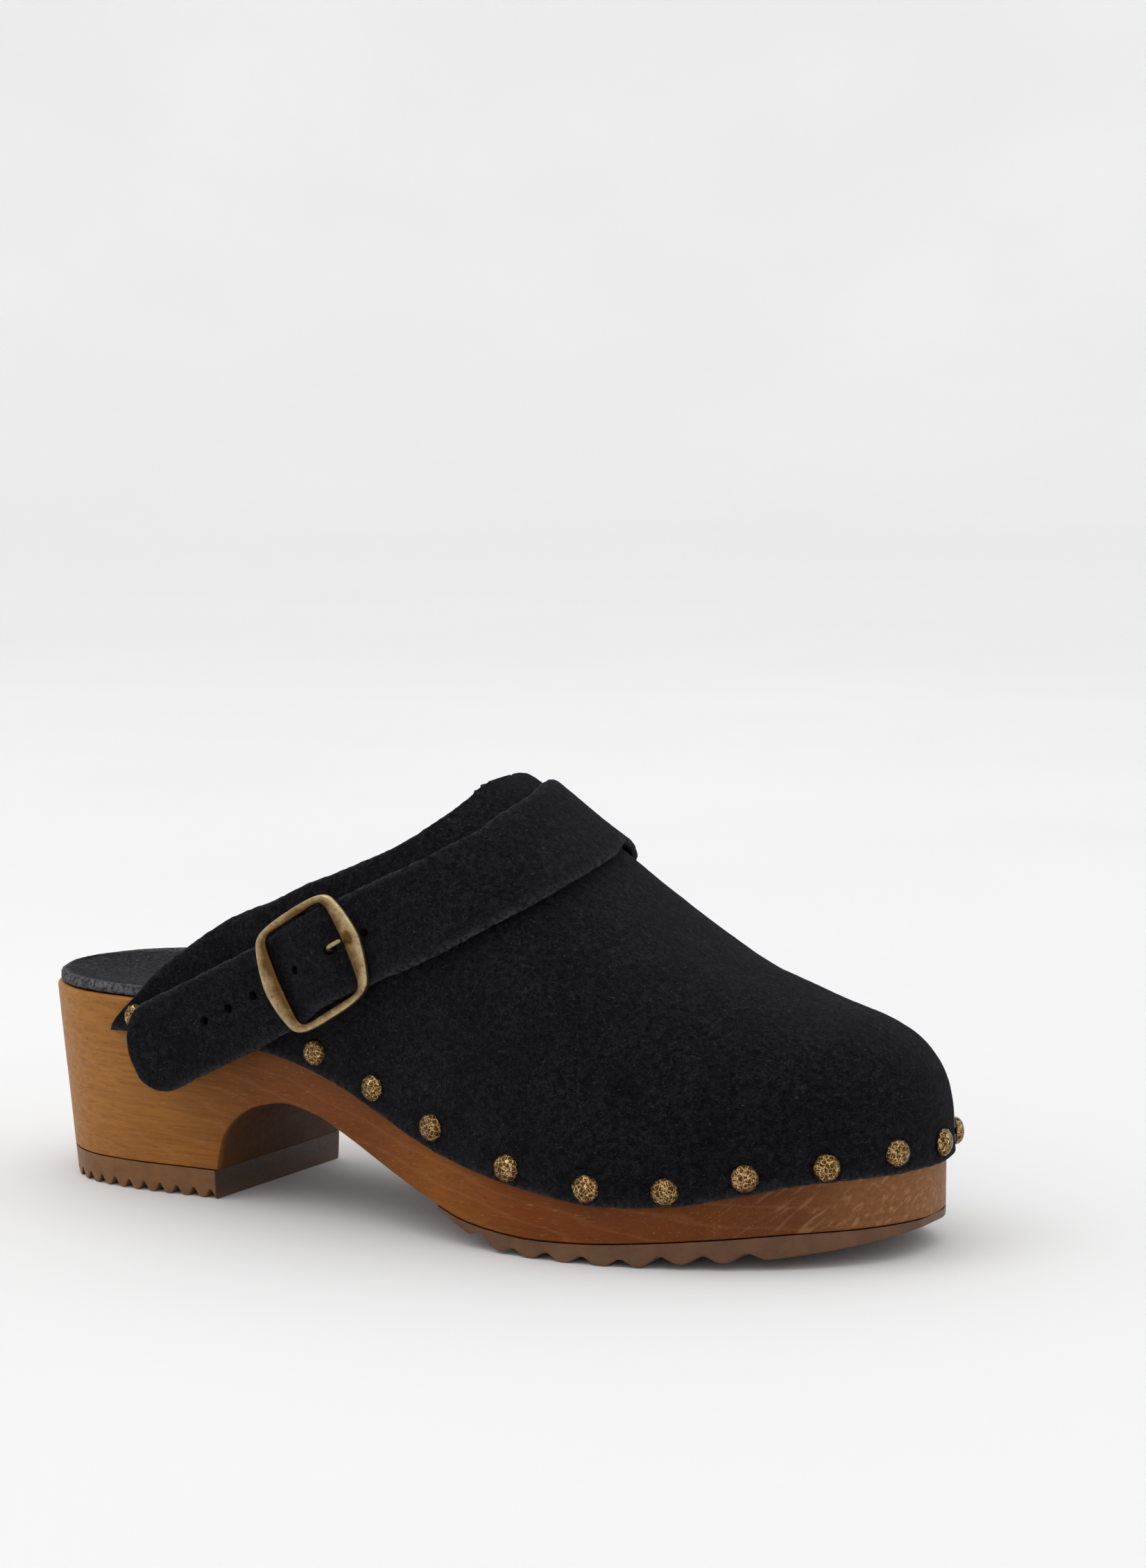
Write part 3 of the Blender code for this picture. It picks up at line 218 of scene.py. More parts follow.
PLAN = smooth_path([Vector((x, y, 0)) for x, y in SOLE_PLAN], 16, closed=True)
TIP = max(range(len(PLAN)), key=lambda k: PLAN[k].x)


def grown_plan(distance):
    """The sole's outline moved outwards, as two runs from heel to toe: outer side, inner side."""
    moved = []
    for k, p in enumerate(PLAN):
        along = (PLAN[(k + 1) % len(PLAN)] - PLAN[k - 1]).normalized()
        moved.append(p + Vector((along.y, -along.x, 0)) * distance)
    return {OUTER: moved[: TIP + 1], INNER: [moved[0]] + moved[: TIP - 1 : -1]}


SOLE = grown_plan(0)
FEATHER = grown_plan(VAMP_STANDOFF)
RUNS = {}


def side_y(runs, side, x):
    key = (id(runs), side)
    if key not in RUNS:
        RUNS[key] = [(p.x, p.y) for p in runs[side] if p.x >= -1]
    return straight(RUNS[key], x)


def side_of(p):
    return OUTER if p.y < RIDGE_Y else INNER


def tapered(p):
    """Leans the heel's walls in towards the floor."""
    down = max(0.0, (FOOTBED_RIM[0][1] - p.z) / FOOTBED_RIM[0][1])
    back = max(0.0, 1 - p.x / HEEL_BREAST)
    narrow = min(1.0, max(0.0, (TAPER_END - p.x) / (TAPER_END - TAPER_FADE)))
    return Vector((p.x + HEEL_UNDERCUT * down * back**2, p.y * (1 - HEEL_TAPER * down * narrow), p.z))


def frame_origin():
    """Where the drawing's zero lies in the frame: from the strap's hinge, and the middle of the wood."""
    low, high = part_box("wooden_sole")
    wide = [side_y(SOLE, side, x) for side in (OUTER, INNER) for x in range(150, 200)]
    middle = (min(wide) + max(wide)) / 2
    pivot_x = next(joint["pos_m"][0] for joint in frame["joints"] if joint["name"] == "strap_swing")
    return Vector((pivot_x - PIVOT_X * MM, (low[1] + high[1]) / 2 - middle * MM, 0))


ORIGIN = frame_origin()


def world(p):
    return ORIGIN + p * MM


# ---------------------------------------------------------------- meshes and pieces


def show(name, data):
    thing = bpy.data.objects.new(name, data)
    bpy.context.scene.collection.objects.link(thing)
    return thing


def mesh_from(bm, name):
    mesh = bpy.data.meshes.new(name)
    bm.to_mesh(mesh)
    bm.free()
    return mesh


def mesh_of(name, points, faces, marks=None):
    """A closed mesh from points in millimetres. marks holds a value from 0 to 1 for each point."""
    mesh = bpy.data.meshes.new(name)
    mesh.from_pydata([world(p) for p in points], [], faces)
    if marks:
        mesh.attributes.new("edge", "FLOAT", "POINT").data.foreach_set("value", marks)
    bm = bmesh.new()
    bm.from_mesh(mesh)
    bmesh.ops.remove_doubles(bm, verts=bm.verts, dist=0.000002)
    bmesh.ops.recalc_face_normals(bm, faces=bm.faces)
    bm.to_mesh(mesh)
    bm.free()
    mesh.shade_smooth()
    return mesh


def add_piece(name, mesh, material, body, nodes):
    """Shows a mesh as a piece that moves with a body and stands for the CAD nodes."""
    piece = show(name, mesh)
    piece.data.materials.clear()
    piece.data.materials.append(material)
    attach(piece, body)
    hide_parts(*nodes)
    return piece


def ring_faces(count, size, closed=False):
    """Faces between rings of points that follow one another. closed joins the last ring to the first."""
    steps = [(s * size, (s + 1) % count * size) for s in range(count if closed else count - 1)]
    sides = [(k, (k + 1) % size) for k in range(size)]
    return [(here + a, here + b, after + b, after + a) for here, after in steps for a, b in sides]


def filled_rings(rings):
    """Points and faces of a solid through rings of the same size, with both end rings filled."""
    size = len(rings[0])
    points = [p for ring in rings for p in ring]
    ends = [tuple(range(size)), tuple(range(len(points) - size, len(points)))]
    return points, ends + ring_faces(len(rings), size)


def loft(name, rings, marks=None):
    return mesh_of(name, *filled_rings(rings), marks)


def cut(mesh, cutter_mesh):
    """The mesh after the cutter's solids are taken out of it."""
    obj, tool = show("cut", mesh), show("cutter", cutter_mesh)
    modifier = obj.modifiers.new("cut", "BOOLEAN")
    modifier.operation = "DIFFERENCE"
    modifier.solver = "EXACT"
    modifier.object = tool
    bpy.context.view_layer.update()
    graph = bpy.context.evaluated_depsgraph_get()
    done = bpy.data.meshes.new_from_object(obj.evaluated_get(graph))
    for helper in (obj, tool):
        bpy.data.objects.remove(helper, do_unlink=True)
    return done


def upright_to(out):
    """The turn that brings the Z axis to a direction."""
    return Vector((0, 0, 1)).rotation_difference(out).to_matrix().to_4x4()


def rods(name, places, radius, outside, inside):
    """Closed rods for cutting holes. Each place is a point in millimetres and a direction."""
    bm = bmesh.new()
    for point, out in places:
        middle = world(point + out * (outside - inside) / 2)
        place = Matrix.Translation(middle) @ upright_to(out)
        bmesh.ops.create_cone(bm, cap_ends=True, segments=20, radius1=radius * MM, radius2=radius * MM,
                              depth=(outside + inside) * MM, matrix=place)  # fmt: skip
    return mesh_from(bm, name)


# ---------------------------------------------------------------- wood, treads and insole


def wood_under(x):
    return HEEL_TREAD_TOP + GAP if x <= HEEL_BREAST else profile(WOOD_UNDER, x)


def stations():
    """Places along the foot: close together at both tips and at the heel's breast."""
    breast = [HEEL_BREAST + 0.3 * k for k in range(15)]
    places = rounded_steps(0, SOLE_LENGTH, 170)[1:-1]
    return sorted([x for x in places if not breast[0] - 0.8 < x < breast[-1] + 0.5] + breast)


def plan_loop(places):
    """The outline as a closed loop: heel tip, outer side, toe tip, inner side; with directions inwards."""
    outer = [Vector((x, side_y(SOLE, OUTER, x), 0)) for x in places]
    inner = [Vector((x, side_y(SOLE, INNER, x), 0)) for x in reversed(places)]
    loop = [PLAN[0].copy(), *outer, PLAN[TIP].copy(), *inner]
    inwards = []
    for k in range(len(loop)):
        along = (loop[(k + 1) % len(loop)] - loop[k - 1]).normalized()
        inwards.append(Vector((-along.y, along.x, 0)))
    return loop, inwards


def plan_solid(name, levels, low_cap, high_cap, wobble, fuzz=0.0, across=24, under=0.0):
    """A solid over the sole's outline. levels are (inset, height function) from low to high; fuzz marks its
    rim and under marks its underside, which the wood's material darkens as painted shade.
    """
    places = stations()
    loop, inwards = plan_loop(places)
    size, n = len(loop), len(places)
    points = []
    for inset, height in levels:
        for p, inward in zip(loop, inwards):
            q = p + inward * inset
            points.append(Vector((q.x, q.y, height(p.x))))
    marks = [fuzz] * len(points)
    faces = ring_faces(len(levels), size)
    for base, cap in ((0, low_cap), ((len(levels) - 1) * size, high_cap)):
        rungs = []
        for i in range(1, n + 1):
            left, right = base + i, base + size - i
            middle = []
            for j in range(1, across):
                t = 2 * j / across - 1
                q = points[left].lerp(points[right], j / across)
                middle.append(len(points))
                points.append(Vector((q.x, q.y, cap(q.x, t))))
                marks.append(max(under if base == 0 else 0.0, fuzz * max(0.0, abs(t) * 6 - 5)))
            rungs.append([left, *middle, right])
        for a, b in zip(rungs, rungs[1:]):
            faces += [(a[j], a[j + 1], b[j + 1], b[j]) for j in range(across)]
        faces += [(base, rungs[0][j], rungs[0][j + 1]) for j in range(across)]
        faces += [(base + n + 1, rungs[-1][j], rungs[-1][j + 1]) for j in range(across)]
    return mesh_of(name, [tapered(wobble(p)) for p in points], faces, marks)


def rounded_levels(inset, low, high, radius, foot):
    """Levels of a wall whose upper and lower edges are rounded, to radius and foot."""
    arc = [math.radians(18 * k) for k in range(6)]
    below = [(inset + foot * (1 - math.sin(a)), lambda x, a=a: low(x) + foot * (1 - math.cos(a)))
             for a in arc]  # fmt: skip
    wall = [(inset, lambda x, t=t: low(x) + foot + (high(x) - low(x) - radius - foot) * t)
            for t in (0.2, 0.4, 0.6, 0.8)]  # fmt: skip
    above = [(inset + radius * (1 - math.sin(a)), lambda x, a=a: high(x) - radius * (1 - math.cos(a)))
             for a in reversed(arc)]  # fmt: skip
    return below + wall + above


def rim(x):
    return profile(FOOTBED_RIM, x)


def dish(x, t):
    """Depth of the footbed's hollow at x and at a share t from the middle to either side."""
    return profile(FOOTBED_DISH, x) * (1 - t * t)


def wooden_sole(material):
    def carved(p):
        return p + Vector((0, 0.12 * rough(p, 18), 0))

    # painted shade on the underside: under=1.0 marks the wood's underside, which sole_wood darkens.
    mesh = plan_solid("wooden_sole_carved", rounded_levels(0, wood_under, rim, 1.2, 0.35),
                      lambda x, t: wood_under(x), lambda x, t: rim(x) - dish(x, t), carved,
                      under=1.0)  # fmt: skip
    piece = add_piece("wooden_sole_carved", mesh, material, "clog_body", ["wooden_sole"])
    piece.data.set_sharp_from_angle(angle=math.radians(50))


def insole_cover(material):
    def low(x):
        return rim(x) + GAP

    def high(x):
        return rim(x) + INSOLE_THICK

    def nap(p):
        lift = 0.12 * rough(p, 9, 3) + 0.1 * rough(p, 1.3, 5)
        return p + Vector((0.18 * rough(p, 1.6, 7), 0.18 * rough(p, 1.6, 9), lift))

    mesh = plan_solid("insole_cover_suede", rounded_levels(INSOLE_INSET, low, high, 0.9, 0.9),
                      lambda x, t: low(x) - dish(x, t), lambda x, t: high(x) - dish(x, t), nap,
                      fuzz=1.0, across=60)  # fmt: skip
    add_piece("insole_cover_suede", mesh, material, "clog_body", ["insole_cover"])


def tread(name, places, under, top, material, node):
    """A ribbed rubber sole as a loft along the foot, with softened edges."""
    soft = 0.5
    rings = []
    for x in places:
        outer, inner = side_y(SOLE, OUTER, x), side_y(SOLE, INNER, x)
        low, high = under(x), top(x)
        edge = min(soft, (inner - outer) * 0.3, (high - low) * 0.4)
        spots = [(outer + edge + (inner - outer - 2 * edge) * k / 16, low) for k in range(17)]
        spots += [(inner - edge * 0.3, low + edge * 0.3), (inner, low + edge)]
        spots += [(inner, low + edge + (high - low - edge) * k / 4) for k in range(1, 5)]
        spots += [(outer, high - (high - low - edge) * k / 4) for k in range(4)]
        spots += [(outer, low + edge), (outer + edge * 0.3, low + edge * 0.3)]
        rings.append([tapered(Vector((x, y + 0.1 * rough(Vector((x, y, z)), 6), z))) for y, z in spots])
    piece = add_piece(name, loft(name, rings), material, "clog_body", [node])
    piece.data.set_sharp_from_angle(angle=math.radians(35))


def softened(points, share=0.18):
    """A zigzag's (x, height) points with each corner cut short, so that no tip is a knife edge."""
    cut_points = [points[0]]
    for before, here, after in zip(points, points[1:], points[2:]):
        for other in (before, after):
            cut_points.append(tuple(h + (o - h) * share for h, o in zip(here, other)))
    return sorted(set([*cut_points, points[-1]]))


def with_extra(points, extra):
    return sorted([x for x, _ in points] + [x for x in extra if all(abs(x - p[0]) > 0.25 for p in points)])


def heel_tread(material):
    pitch = HEEL_BREAST / HEEL_GROOVES
    points = [(0.02, 0.0)]
    for k in range(HEEL_GROOVES):
        start = pitch * k + HEEL_LAND
        points += [(start, 0.0), ((start + pitch * (k + 1)) / 2, HEEL_GROOVE_DEPTH), (pitch * (k + 1), 0.0)]
    points[-1] = (HEEL_BREAST, 0.0)
    points = softened(points)
    back = [0.05, 0.15, 0.4, 0.8, *range(1, 60, 2)]
    tread("heel_tread_ribbed", with_extra(points, back), lambda x: straight(points, x),
          lambda x: HEEL_TREAD_TOP, material, "heel_tread")  # fmt: skip


def forepart_tread(material):
    teeth = [(TEETH_START, 0.0)]
    while teeth[-1][0] + TOOTH_PITCH < TEETH_END:
        start = teeth[-1][0]
        valley = start + (TOOTH_PITCH - TOOTH_LAND) / 2
        teeth += [(valley, TOOTH_DEPTH), (start + TOOTH_PITCH - TOOTH_LAND, 0.0), (start + TOOTH_PITCH, 0.0)]
    teeth = softened(teeth)
    steps = rounded_steps(FORE_TREAD_START, FORE_TREAD_END, 70)
    tread("forepart_tread_ribbed", with_extra(teeth, steps),
          lambda x: profile(FORE_TREAD_UNDER, x) + straight(teeth, x),
          lambda x: wood_under(x) - GAP, material, "forepart_tread")  # fmt: skip


# ---------------------------------------------------------------- vamp


def vamp_point(x, foot, angle, exponent):
    """A point of the vamp's outer face: its section stands on the edge point foot and ends on the ridge."""
    base = Vector((min(foot.x, TOE_CENTRE_X) if foot.x > TOE_CENTRE_X else x, RIDGE_Y, 0))
    out = max(0.0, math.cos(angle)) ** (2 / exponent)
    up = math.sin(angle) ** (2 / exponent)
    place = base.lerp(foot, out)
    low = profile(VAMP_EDGE, foot.x)
    return Vector((place.x, place.y, low + (profile(RIDGE, place.x) - low) * up))


def side_point(side, x, degrees):
    foot = Vector((x, side_y(FEATHER, side, x), 0))
    return vamp_point(x, foot, math.radians(degrees), profile(SQUARENESS, x))


def fan_edge():
    """The vamp's edge round the toe with each point's angle from straight ahead."""
    loop = [p for p in FEATHER[OUTER] + FEATHER[INNER][-2::-1] if p.x > TOE_CENTRE_X - 12]
    return [(math.degrees(math.atan2(p.y - RIDGE_Y, p.x - TOE_CENTRE_X)), p) for p in loop]


FAN_EDGE = fan_edge()


def fan_foot(degrees):
    k = next(i for i in range(len(FAN_EDGE) - 1) if FAN_EDGE[i][0] <= degrees < FAN_EDGE[i + 1][0])
    (a0, p0), (a1, p1) = FAN_EDGE[k], FAN_EDGE[k + 1]
    return p0.lerp(p1, (degrees - a0) / (a1 - a0))


def fan_point(degrees_round, degrees_up):
    foot = fan_foot(degrees_round)
    ahead = math.cos(math.radians(degrees_round)) ** 2
    exponent = profile(SQUARENESS, TOE_CENTRE_X) * (1 - ahead) + TOE_SQUARENESS * ahead
    return vamp_point(foot.x, foot, math.radians(degrees_up), exponent)


TOP_CURVE = smooth_path([Vector((x, angle, 0)) for x, angle in TOPLINE], 12)
TOP_SHARES = [(p.x + p.y - TOP_CURVE[0].x - TOP_CURVE[0].y) for p in TOP_CURVE]
TOP_SHARES = [share / TOP_SHARES[-1] for share in TOP_SHARES]


def topline_point(share):
    k = next(i for i in range(len(TOP_CURVE) - 1) if TOP_SHARES[i + 1] >= share - 1e-9)
    return TOP_CURVE[k].lerp(TOP_CURVE[k + 1], (share - TOP_SHARES[k]) / (TOP_SHARES[k + 1] - TOP_SHARES[k]))


def column_lines(side):
    """For each column of one side, from the wing's back end to the toe: a function of the share upwards."""
    lines = []
    near_end = [0, 0.0012, 0.003, 0.006, 0.01]
    shares = near_end + [0.01 + 0.99 * k / (WING_COLUMNS - 4) for k in range(1, WING_COLUMNS - 3)]
    for share in shares:
        top = topline_point(share)
        foot_x = WING_START + (THROAT_FOOT - WING_START) * share
        lines.append(lambda r, f=foot_x, t=top: side_point(side, f + (t.x - f) * r, t.y * r))
    throat_x = TOPLINE[-1][0]
    for k in range(1, RIDGE_COLUMNS + 1):
        share = k / RIDGE_COLUMNS
        foot_x = THROAT_FOOT + (TOE_CENTRE_X - THROAT_FOOT) * share
        ridge_x = throat_x + (TOE_CENTRE_X - throat_x) * share
        lines.append(lambda r, f=foot_x, x=ridge_x: side_point(side, f + (x - f) * r, 90 * r))
    for k in range(1, FAN_COLUMNS + 1):
        turn = side * 90 * (1 - k / FAN_COLUMNS)
        lines.append(lambda r, turn=turn: fan_point(turn, 90 * r))
    return lines


def column_shares(line):
    """Shares up a column: very close together at its two cut edges, even between."""
    coarse = [line(k / 40) for k in range(41)]
    length = sum((b - a).length for a, b in zip(coarse, coarse[1:]))
    near = [min(d / length, 0.4 * k / 5) for k, d in enumerate((0, 0.1, 0.3, 0.6, 1.0))]
    start, count = near[-1], VAMP_ROWS - 2 * len(near) + 1
    even = [start + (1 - 2 * start) * k / count for k in range(1, count)]
    return near + even + [1 - share for share in reversed(near)]


def vamp_columns():
    """Points of the vamp's outer face, column by column, and each point's distance to a cut edge."""
    lines = column_lines(OUTER) + column_lines(INNER)[::-1][1:]
    grid = [[line(r) for r in column_shares(line)] for line in lines]
    last_open = WING_COLUMNS  # columns past this one end on the ridge, not on a cut edge
    depths = []
    for c, column in enumerate(grid):
        from_end = min(c, len(grid) - 1 - c)
        end_column = grid[0] if c < len(grid) / 2 else grid[-1]
        below, along = [0.0], 0.0
        for a, b in zip(column, column[1:]):
            along += (b - a).length
            below.append(along)
        row = []
        for r, p in enumerate(column):
            to_top = along - below[r] if from_end <= last_open else 99.0
            to_back = (p - end_column[r]).length if from_end < 12 else 99.0
            row.append(min(below[r], to_top, to_back))
        depths.append(row)
    return grid, depths


def grid_normals(grid):
    """Directions out of a surface of columns."""
    normals = []
    for c, column in enumerate(grid):
        left, right = grid[max(0, c - 1)], grid[min(len(grid) - 1, c + 1)]
        row = []
        for r in range(len(column)):
            up = column[min(len(column) - 1, r + 1)] - column[max(0, r - 1)]
            row.append((right[r] - left[r]).cross(up).normalized())
        normals.append(row)
    return normals


def nail_places():
    """(name, point on the vamp's face, direction out) of each dome nail, read from its CAD node."""
    found = []
    for name in frame["nodes"]:
        if name.startswith("nail_") or name == "strap_nail":
            low, high = (Vector(corner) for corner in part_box(name))
            middle = ((low + high) / 2 - ORIGIN) / MM
            side = side_of(middle)
            run = FEATHER[side]
            k = min(range(1, len(run) - 1), key=lambda i: (run[i].xy - middle.xy).length)
            along = (run[k + 1] - run[k - 1]).normalized()
            out = Vector((along.y, -along.x, 0)) * -side
            half_length = (NAIL_HEAD_H + NAIL_SHANK_L) / 2
            found.append((name, middle + out * (half_length - NAIL_HEAD_H), out))
    return found


NAILS = nail_places()


def nail_pull(p):
    """How far the nails pull the vamp in at a point."""
    near = [(p - nail).length for _, nail, _ in NAILS]
    return sum(NAIL_PULL * math.exp(-((away / NAIL_PULL_REACH) ** 2)) for away in near if away < 16)


def vamp(material):
    grid, depths = vamp_columns()
    rows = len(grid[0])
    for column, depth in zip(grid, depths):
        for p, d in zip(column, depth):
            p.z += (0.35 * rough(p, 13) + 0.22 * rough(p, 1.5)) * math.exp(-d / 4)
    normals = grid_normals(grid)
    half = VAMP_THICK / 2
    way_out = 1 if normals[len(grid) // 2][rows // 2].z > 0 else -1
    points, marks = [], []
    for side in (1, -1):
        for column, normal_column, depth in zip(grid, normals, depths):
            for p, normal, d in zip(column, normal_column, depth):
                out = normal * way_out
                share = min(d / half, 1.0)
                thick = half * math.sqrt(max(0.0, 1 - (1 - share) ** 2))
                slack = 0.3 * rough(p, 26, 2) + 0.12 * rough(p, 8, 4) - nail_pull(p)
                nap = (0.07 * rough(p, 0.9, 6 + side) + 0.05 * rough(p, 2.2, 8)) * share
                points.append(p + out * (side * thick - half + slack * min(1.0, d / 3) + nap))
                marks.append(math.exp(-d / 0.8))
    faces = []
    count = len(grid) * rows
    for c in range(len(grid) - 1):
        for r in range(rows - 1):
            a = c * rows + r
            faces.append((a, a + rows, a + rows + 1, a + 1))
            faces.append((count + a, count + a + 1, count + a + rows + 1, count + a + rows))
    mesh = mesh_of("vamp_suede", points, faces, marks)
    add_piece("vamp_suede", mesh, material, "clog_body", ["vamp"])


# ---------------------------------------------------------------- nails


def turned(outline, segments):
    """Points and faces of a turned solid from (radius, height) pairs that run from axis to axis."""
    points = [Vector((0, 0, outline[0][1]))]
    for r, z in outline[1:-1]:
        around = [math.tau * k / segments for k in range(segments)]
        points += [Vector((r * math.cos(a), r * math.sin(a), z)) for a in around]
    tip, last = len(points), len(points) - segments
    points.append(Vector((0, 0, outline[-1][1])))
    faces = [(0, 1 + k, 1 + (k + 1) % segments) for k in range(segments)]
    faces += [tuple(1 + k for k in (a, d, c, b)) for a, b, c, d in ring_faces(len(outline) - 2, segments)]
    return points, faces + [(tip, last + (k + 1) % segments, last + k) for k in range(segments)]


def hammered(p, depth, seed):
    """Dents the dome with small flats and creases."""
    if p.z < 0.05:
        return p
    distances, _ = noise.voronoi(p / 1.1 + Vector((seed, seed, 0)))
    dent = depth * (distances[1] - distances[0] - 0.35) + 0.4 * depth * rough(p, 0.45, seed)
    return p * (1 + dent / NAIL_HEAD_R)


def dome_nail(name, point, out, material, seed):
    place = Matrix.Translation(point) @ upright_to(out) @ Matrix.Rotation(seed * 1.3, 4, "Z")
    angles = [math.pi / 2 * k / 16 for k in range(17)]
    dome = [(NAIL_HEAD_R * math.sin(a), NAIL_HEAD_H * math.cos(a)) for a in angles]
    dome[0] = (0, NAIL_HEAD_H)
    lip = [(NAIL_HEAD_R - 0.05, -0.12), (NAIL_HEAD_R - 0.3, -0.16)]
    shank = [(NAIL_SHANK_R, -0.1), (NAIL_SHANK_R, 1.6 - NAIL_SHANK_L), (0.12, -NAIL_SHANK_L),
             (0, -NAIL_SHANK_L)]  # fmt: skip
    points, faces = turned(dome + lip + shank, 48)
    mesh = mesh_of(name, [place @ hammered(p, 0.3, seed) for p in points], faces)
    add_piece(f"{name}_hammered", mesh, material, "clog_body", [name])


def seated(point, out):
    """A nail's place moved onto the vamp's face, and its direction leant to stand square on it."""
    rises = [step / 2 for step in range(1, 60)]
    if point.x > TOE_CENTRE_X:
        turn = math.degrees(math.atan2(point.y - RIDGE_Y, point.x - TOE_CENTRE_X))
        line = [fan_point(turn, degrees) for degrees in rises]
    else:
        line = [side_point(side_of(point), point.x, degrees) for degrees in rises]
    k = next(i for i in range(1, len(line) - 2) if line[i + 1].z >= point.z)
    place = line[k].lerp(line[k + 1], (point.z - line[k].z) / (line[k + 1].z - line[k].z))
    up = (line[k + 1] - line[k - 1]).normalized()
    square = (out - up * out.dot(up)).normalized()
    return point + out * ((place - point).dot(out) + NAIL_LIFT), square


def nails(material):
    for k, (name, point, out) in enumerate(NAILS):
        if name == "strap_nail":
            point = point + out * STRAP_NAIL_LIFT
        else:
            point, out = seated(point, out)
        dome_nail(name, point, out, material, 1.0 + 2.7 * k)


# ---------------------------------------------------------------- the strap's run


def section_value(p):
    """1 on the vamp's outer face, more outside and less inside; with its exponent and its edge's height."""
    wide = abs(side_y(FEATHER, side_of(p), p.x) - RIDGE_Y)
    low, high = profile(VAMP_EDGE, p.x), profile(RIDGE, p.x)
    n = profile(SQUARENESS, p.x)
    return (abs(p.y - RIDGE_Y) / wide) ** n + (max(0.0, p.z - low) / (high - low)) ** n, n, low


def on_vamp(p):
    """The point of the vamp's outer face nearest to p across the foot; below its edge, straight out."""
    value, n, low = section_value(p)
    scale = value ** (-1 / n)
    height = low + (p.z - low) * scale if p.z > low else p.z
    return Vector((p.x, RIDGE_Y + (p.y - RIDGE_Y) * scale, height))


def vamp_normal(p):
    step = 0.5
    axes = (Vector((1, 0, 0)), Vector((0, 1, 0)), Vector((0, 0, 1)))
    slope = [section_value(p + axis * step)[0] - section_value(p - axis * step)[0] for axis in axes]
    return Vector(slope).normalized()


def mirrored(p):
    """The place on the inner side that answers to a place on the outer side, with the strap's skew."""
    inner_half, outer_half = (abs(side_y(FEATHER, side, p.x) - RIDGE_Y) for side in (INNER, OUTER))
    back = STRAP_SKEW * (p.z - PIVOT_Z) / (STRAP_PATH[-1][2] - PIVOT_Z)
    return Vector((p.x - back, RIDGE_Y + (RIDGE_Y - p.y) * inner_half / outer_half, p.z))


class Run:
    """The line that the strap follows over the vamp, measured from the outer pivot."""

    def __init__(self):
        outer = [Vector(p) for p in STRAP_PATH]
        inner = [mirrored(p) for p in outer[-2:0:-1]]
        end = inner[-1] + (inner[-1] - inner[-2]).normalized() * (INNER_END_LENGTH + 3)
        self.points = [on_vamp(p) for p in smooth_path(outer + inner + [end], 8)]
        self.along = [0.0]
        for a, b in zip(self.points, self.points[1:]):
            self.along.append(self.along[-1] + (b - a).length)
        self.zero = self.nearest(OUTER)
        self.inner_pivot = self.nearest(INNER) - self.zero

    def nearest(self, side):
        """Distance along the run to where it passes a pivot."""
        pivot = Vector((PIVOT_X, side_y(FEATHER, side, PIVOT_X), PIVOT_Z))
        k = min(range(len(self.points)), key=lambda i: (self.points[i] - pivot).length)
        return self.along[k]

    def at(self, distance):
        """Point on the vamp's face at a distance from the outer pivot."""
        wanted = distance + self.zero
        last = len(self.along) - 2
        k = next((i for i in range(last) if self.along[i + 1] >= wanted), last)
        share = (wanted - self.along[k]) / (self.along[k + 1] - self.along[k])
        return self.points[k].lerp(self.points[k + 1], share)

    def frame(self, distance):
        """Point, and the directions along the strap, across it (to its lower, toe-side edge) and out."""
        here = self.at(distance)
        along = (self.at(distance + 3) - self.at(distance - 3)).normalized()
        out = vamp_normal(here)
        out = (out - along * out.dot(along)).normalized()
        return here, along, out.cross(along) * -1, out

    def smooth_frame(self, distance):
        """The frame averaged over a short stretch, so that fine pieces show no kinks."""
        frames = [self.frame(distance + step) for step in (-2.4, -1.2, 0, 1.2, 2.4)]
        here, along, _, out = (sum((f[k] for f in frames), Vector()) / len(frames) for k in range(4))
        out = out.normalized()
        along = (along - out * along.dot(out)).normalized()
        return here, along, out.cross(along) * -1, out


def strap_edges(distance, run):
    """The strap's upper and lower edges across it at a distance, with its round tail and inner end."""
    past_tail = TAIL_CAP - (distance + TAIL_LENGTH)
    past_end = distance - run.inner_pivot
    half = profile(STRAP_HALF, distance)
    if past_tail > 0:
        share = math.sqrt(max(0.0, 1 - (past_tail / TAIL_CAP) ** 2))
        return TAIL_TIP - (half + TAIL_TIP) * share, TAIL_TIP + (half - TAIL_TIP) * share
    if past_end > 0:
        share = math.sqrt(max(0.0, 1 - (past_end / INNER_END_LENGTH) ** 2.5))
        return -half * share, half * share
    return -half, half


def strap_ring(distance, run, low, thick):
    """A ring of points round the strap with rounded edges, and each point's closeness to a cut edge."""
    half = thick / 2
    upper, lower = strap_edges(distance, run)
    edge = min(half, (lower - upper) * 0.45)
    across = [upper + edge + (lower - upper - 2 * edge) * k / 22 for k in range(23)]
    arc = [math.radians(18 * k) for k in range(1, 10)]
    spots = [(y, half) for y in across]
    spots += [(lower - edge + edge * math.sin(a), half * math.cos(a)) for a in arc]
    spots += [(y, -half) for y in reversed(across)]
    spots += [(upper + edge - edge * math.sin(a), -half * math.cos(a)) for a in arc]
    here, _, across_way, out = run.smooth_frame(distance)
    ring, marks = [], []
    for y, z in spots:
        p = here + across_way * y + out * (low + half + z)
        to_edge = min(y - upper, lower - y)
        wave = 0.22 * rough(p, 9, 11) + 0.24 * rough(p, 1.5, 12) + 0.2 * rough(p, 0.8, 15)
        wave *= math.exp(-to_edge / 1.2)
        sideways = wave if y > (upper + lower) / 2 else -wave
        lift = 0.16 * rough(p, 17, 13) + 0.07 * rough(p, 0.9, 14) * (1 if z > 0 else 0.3)
        ring.append(p + across_way * sideways + out * lift)
        marks.append(math.exp(-max(0.0, to_edge) / 0.7))
    return ring, marks


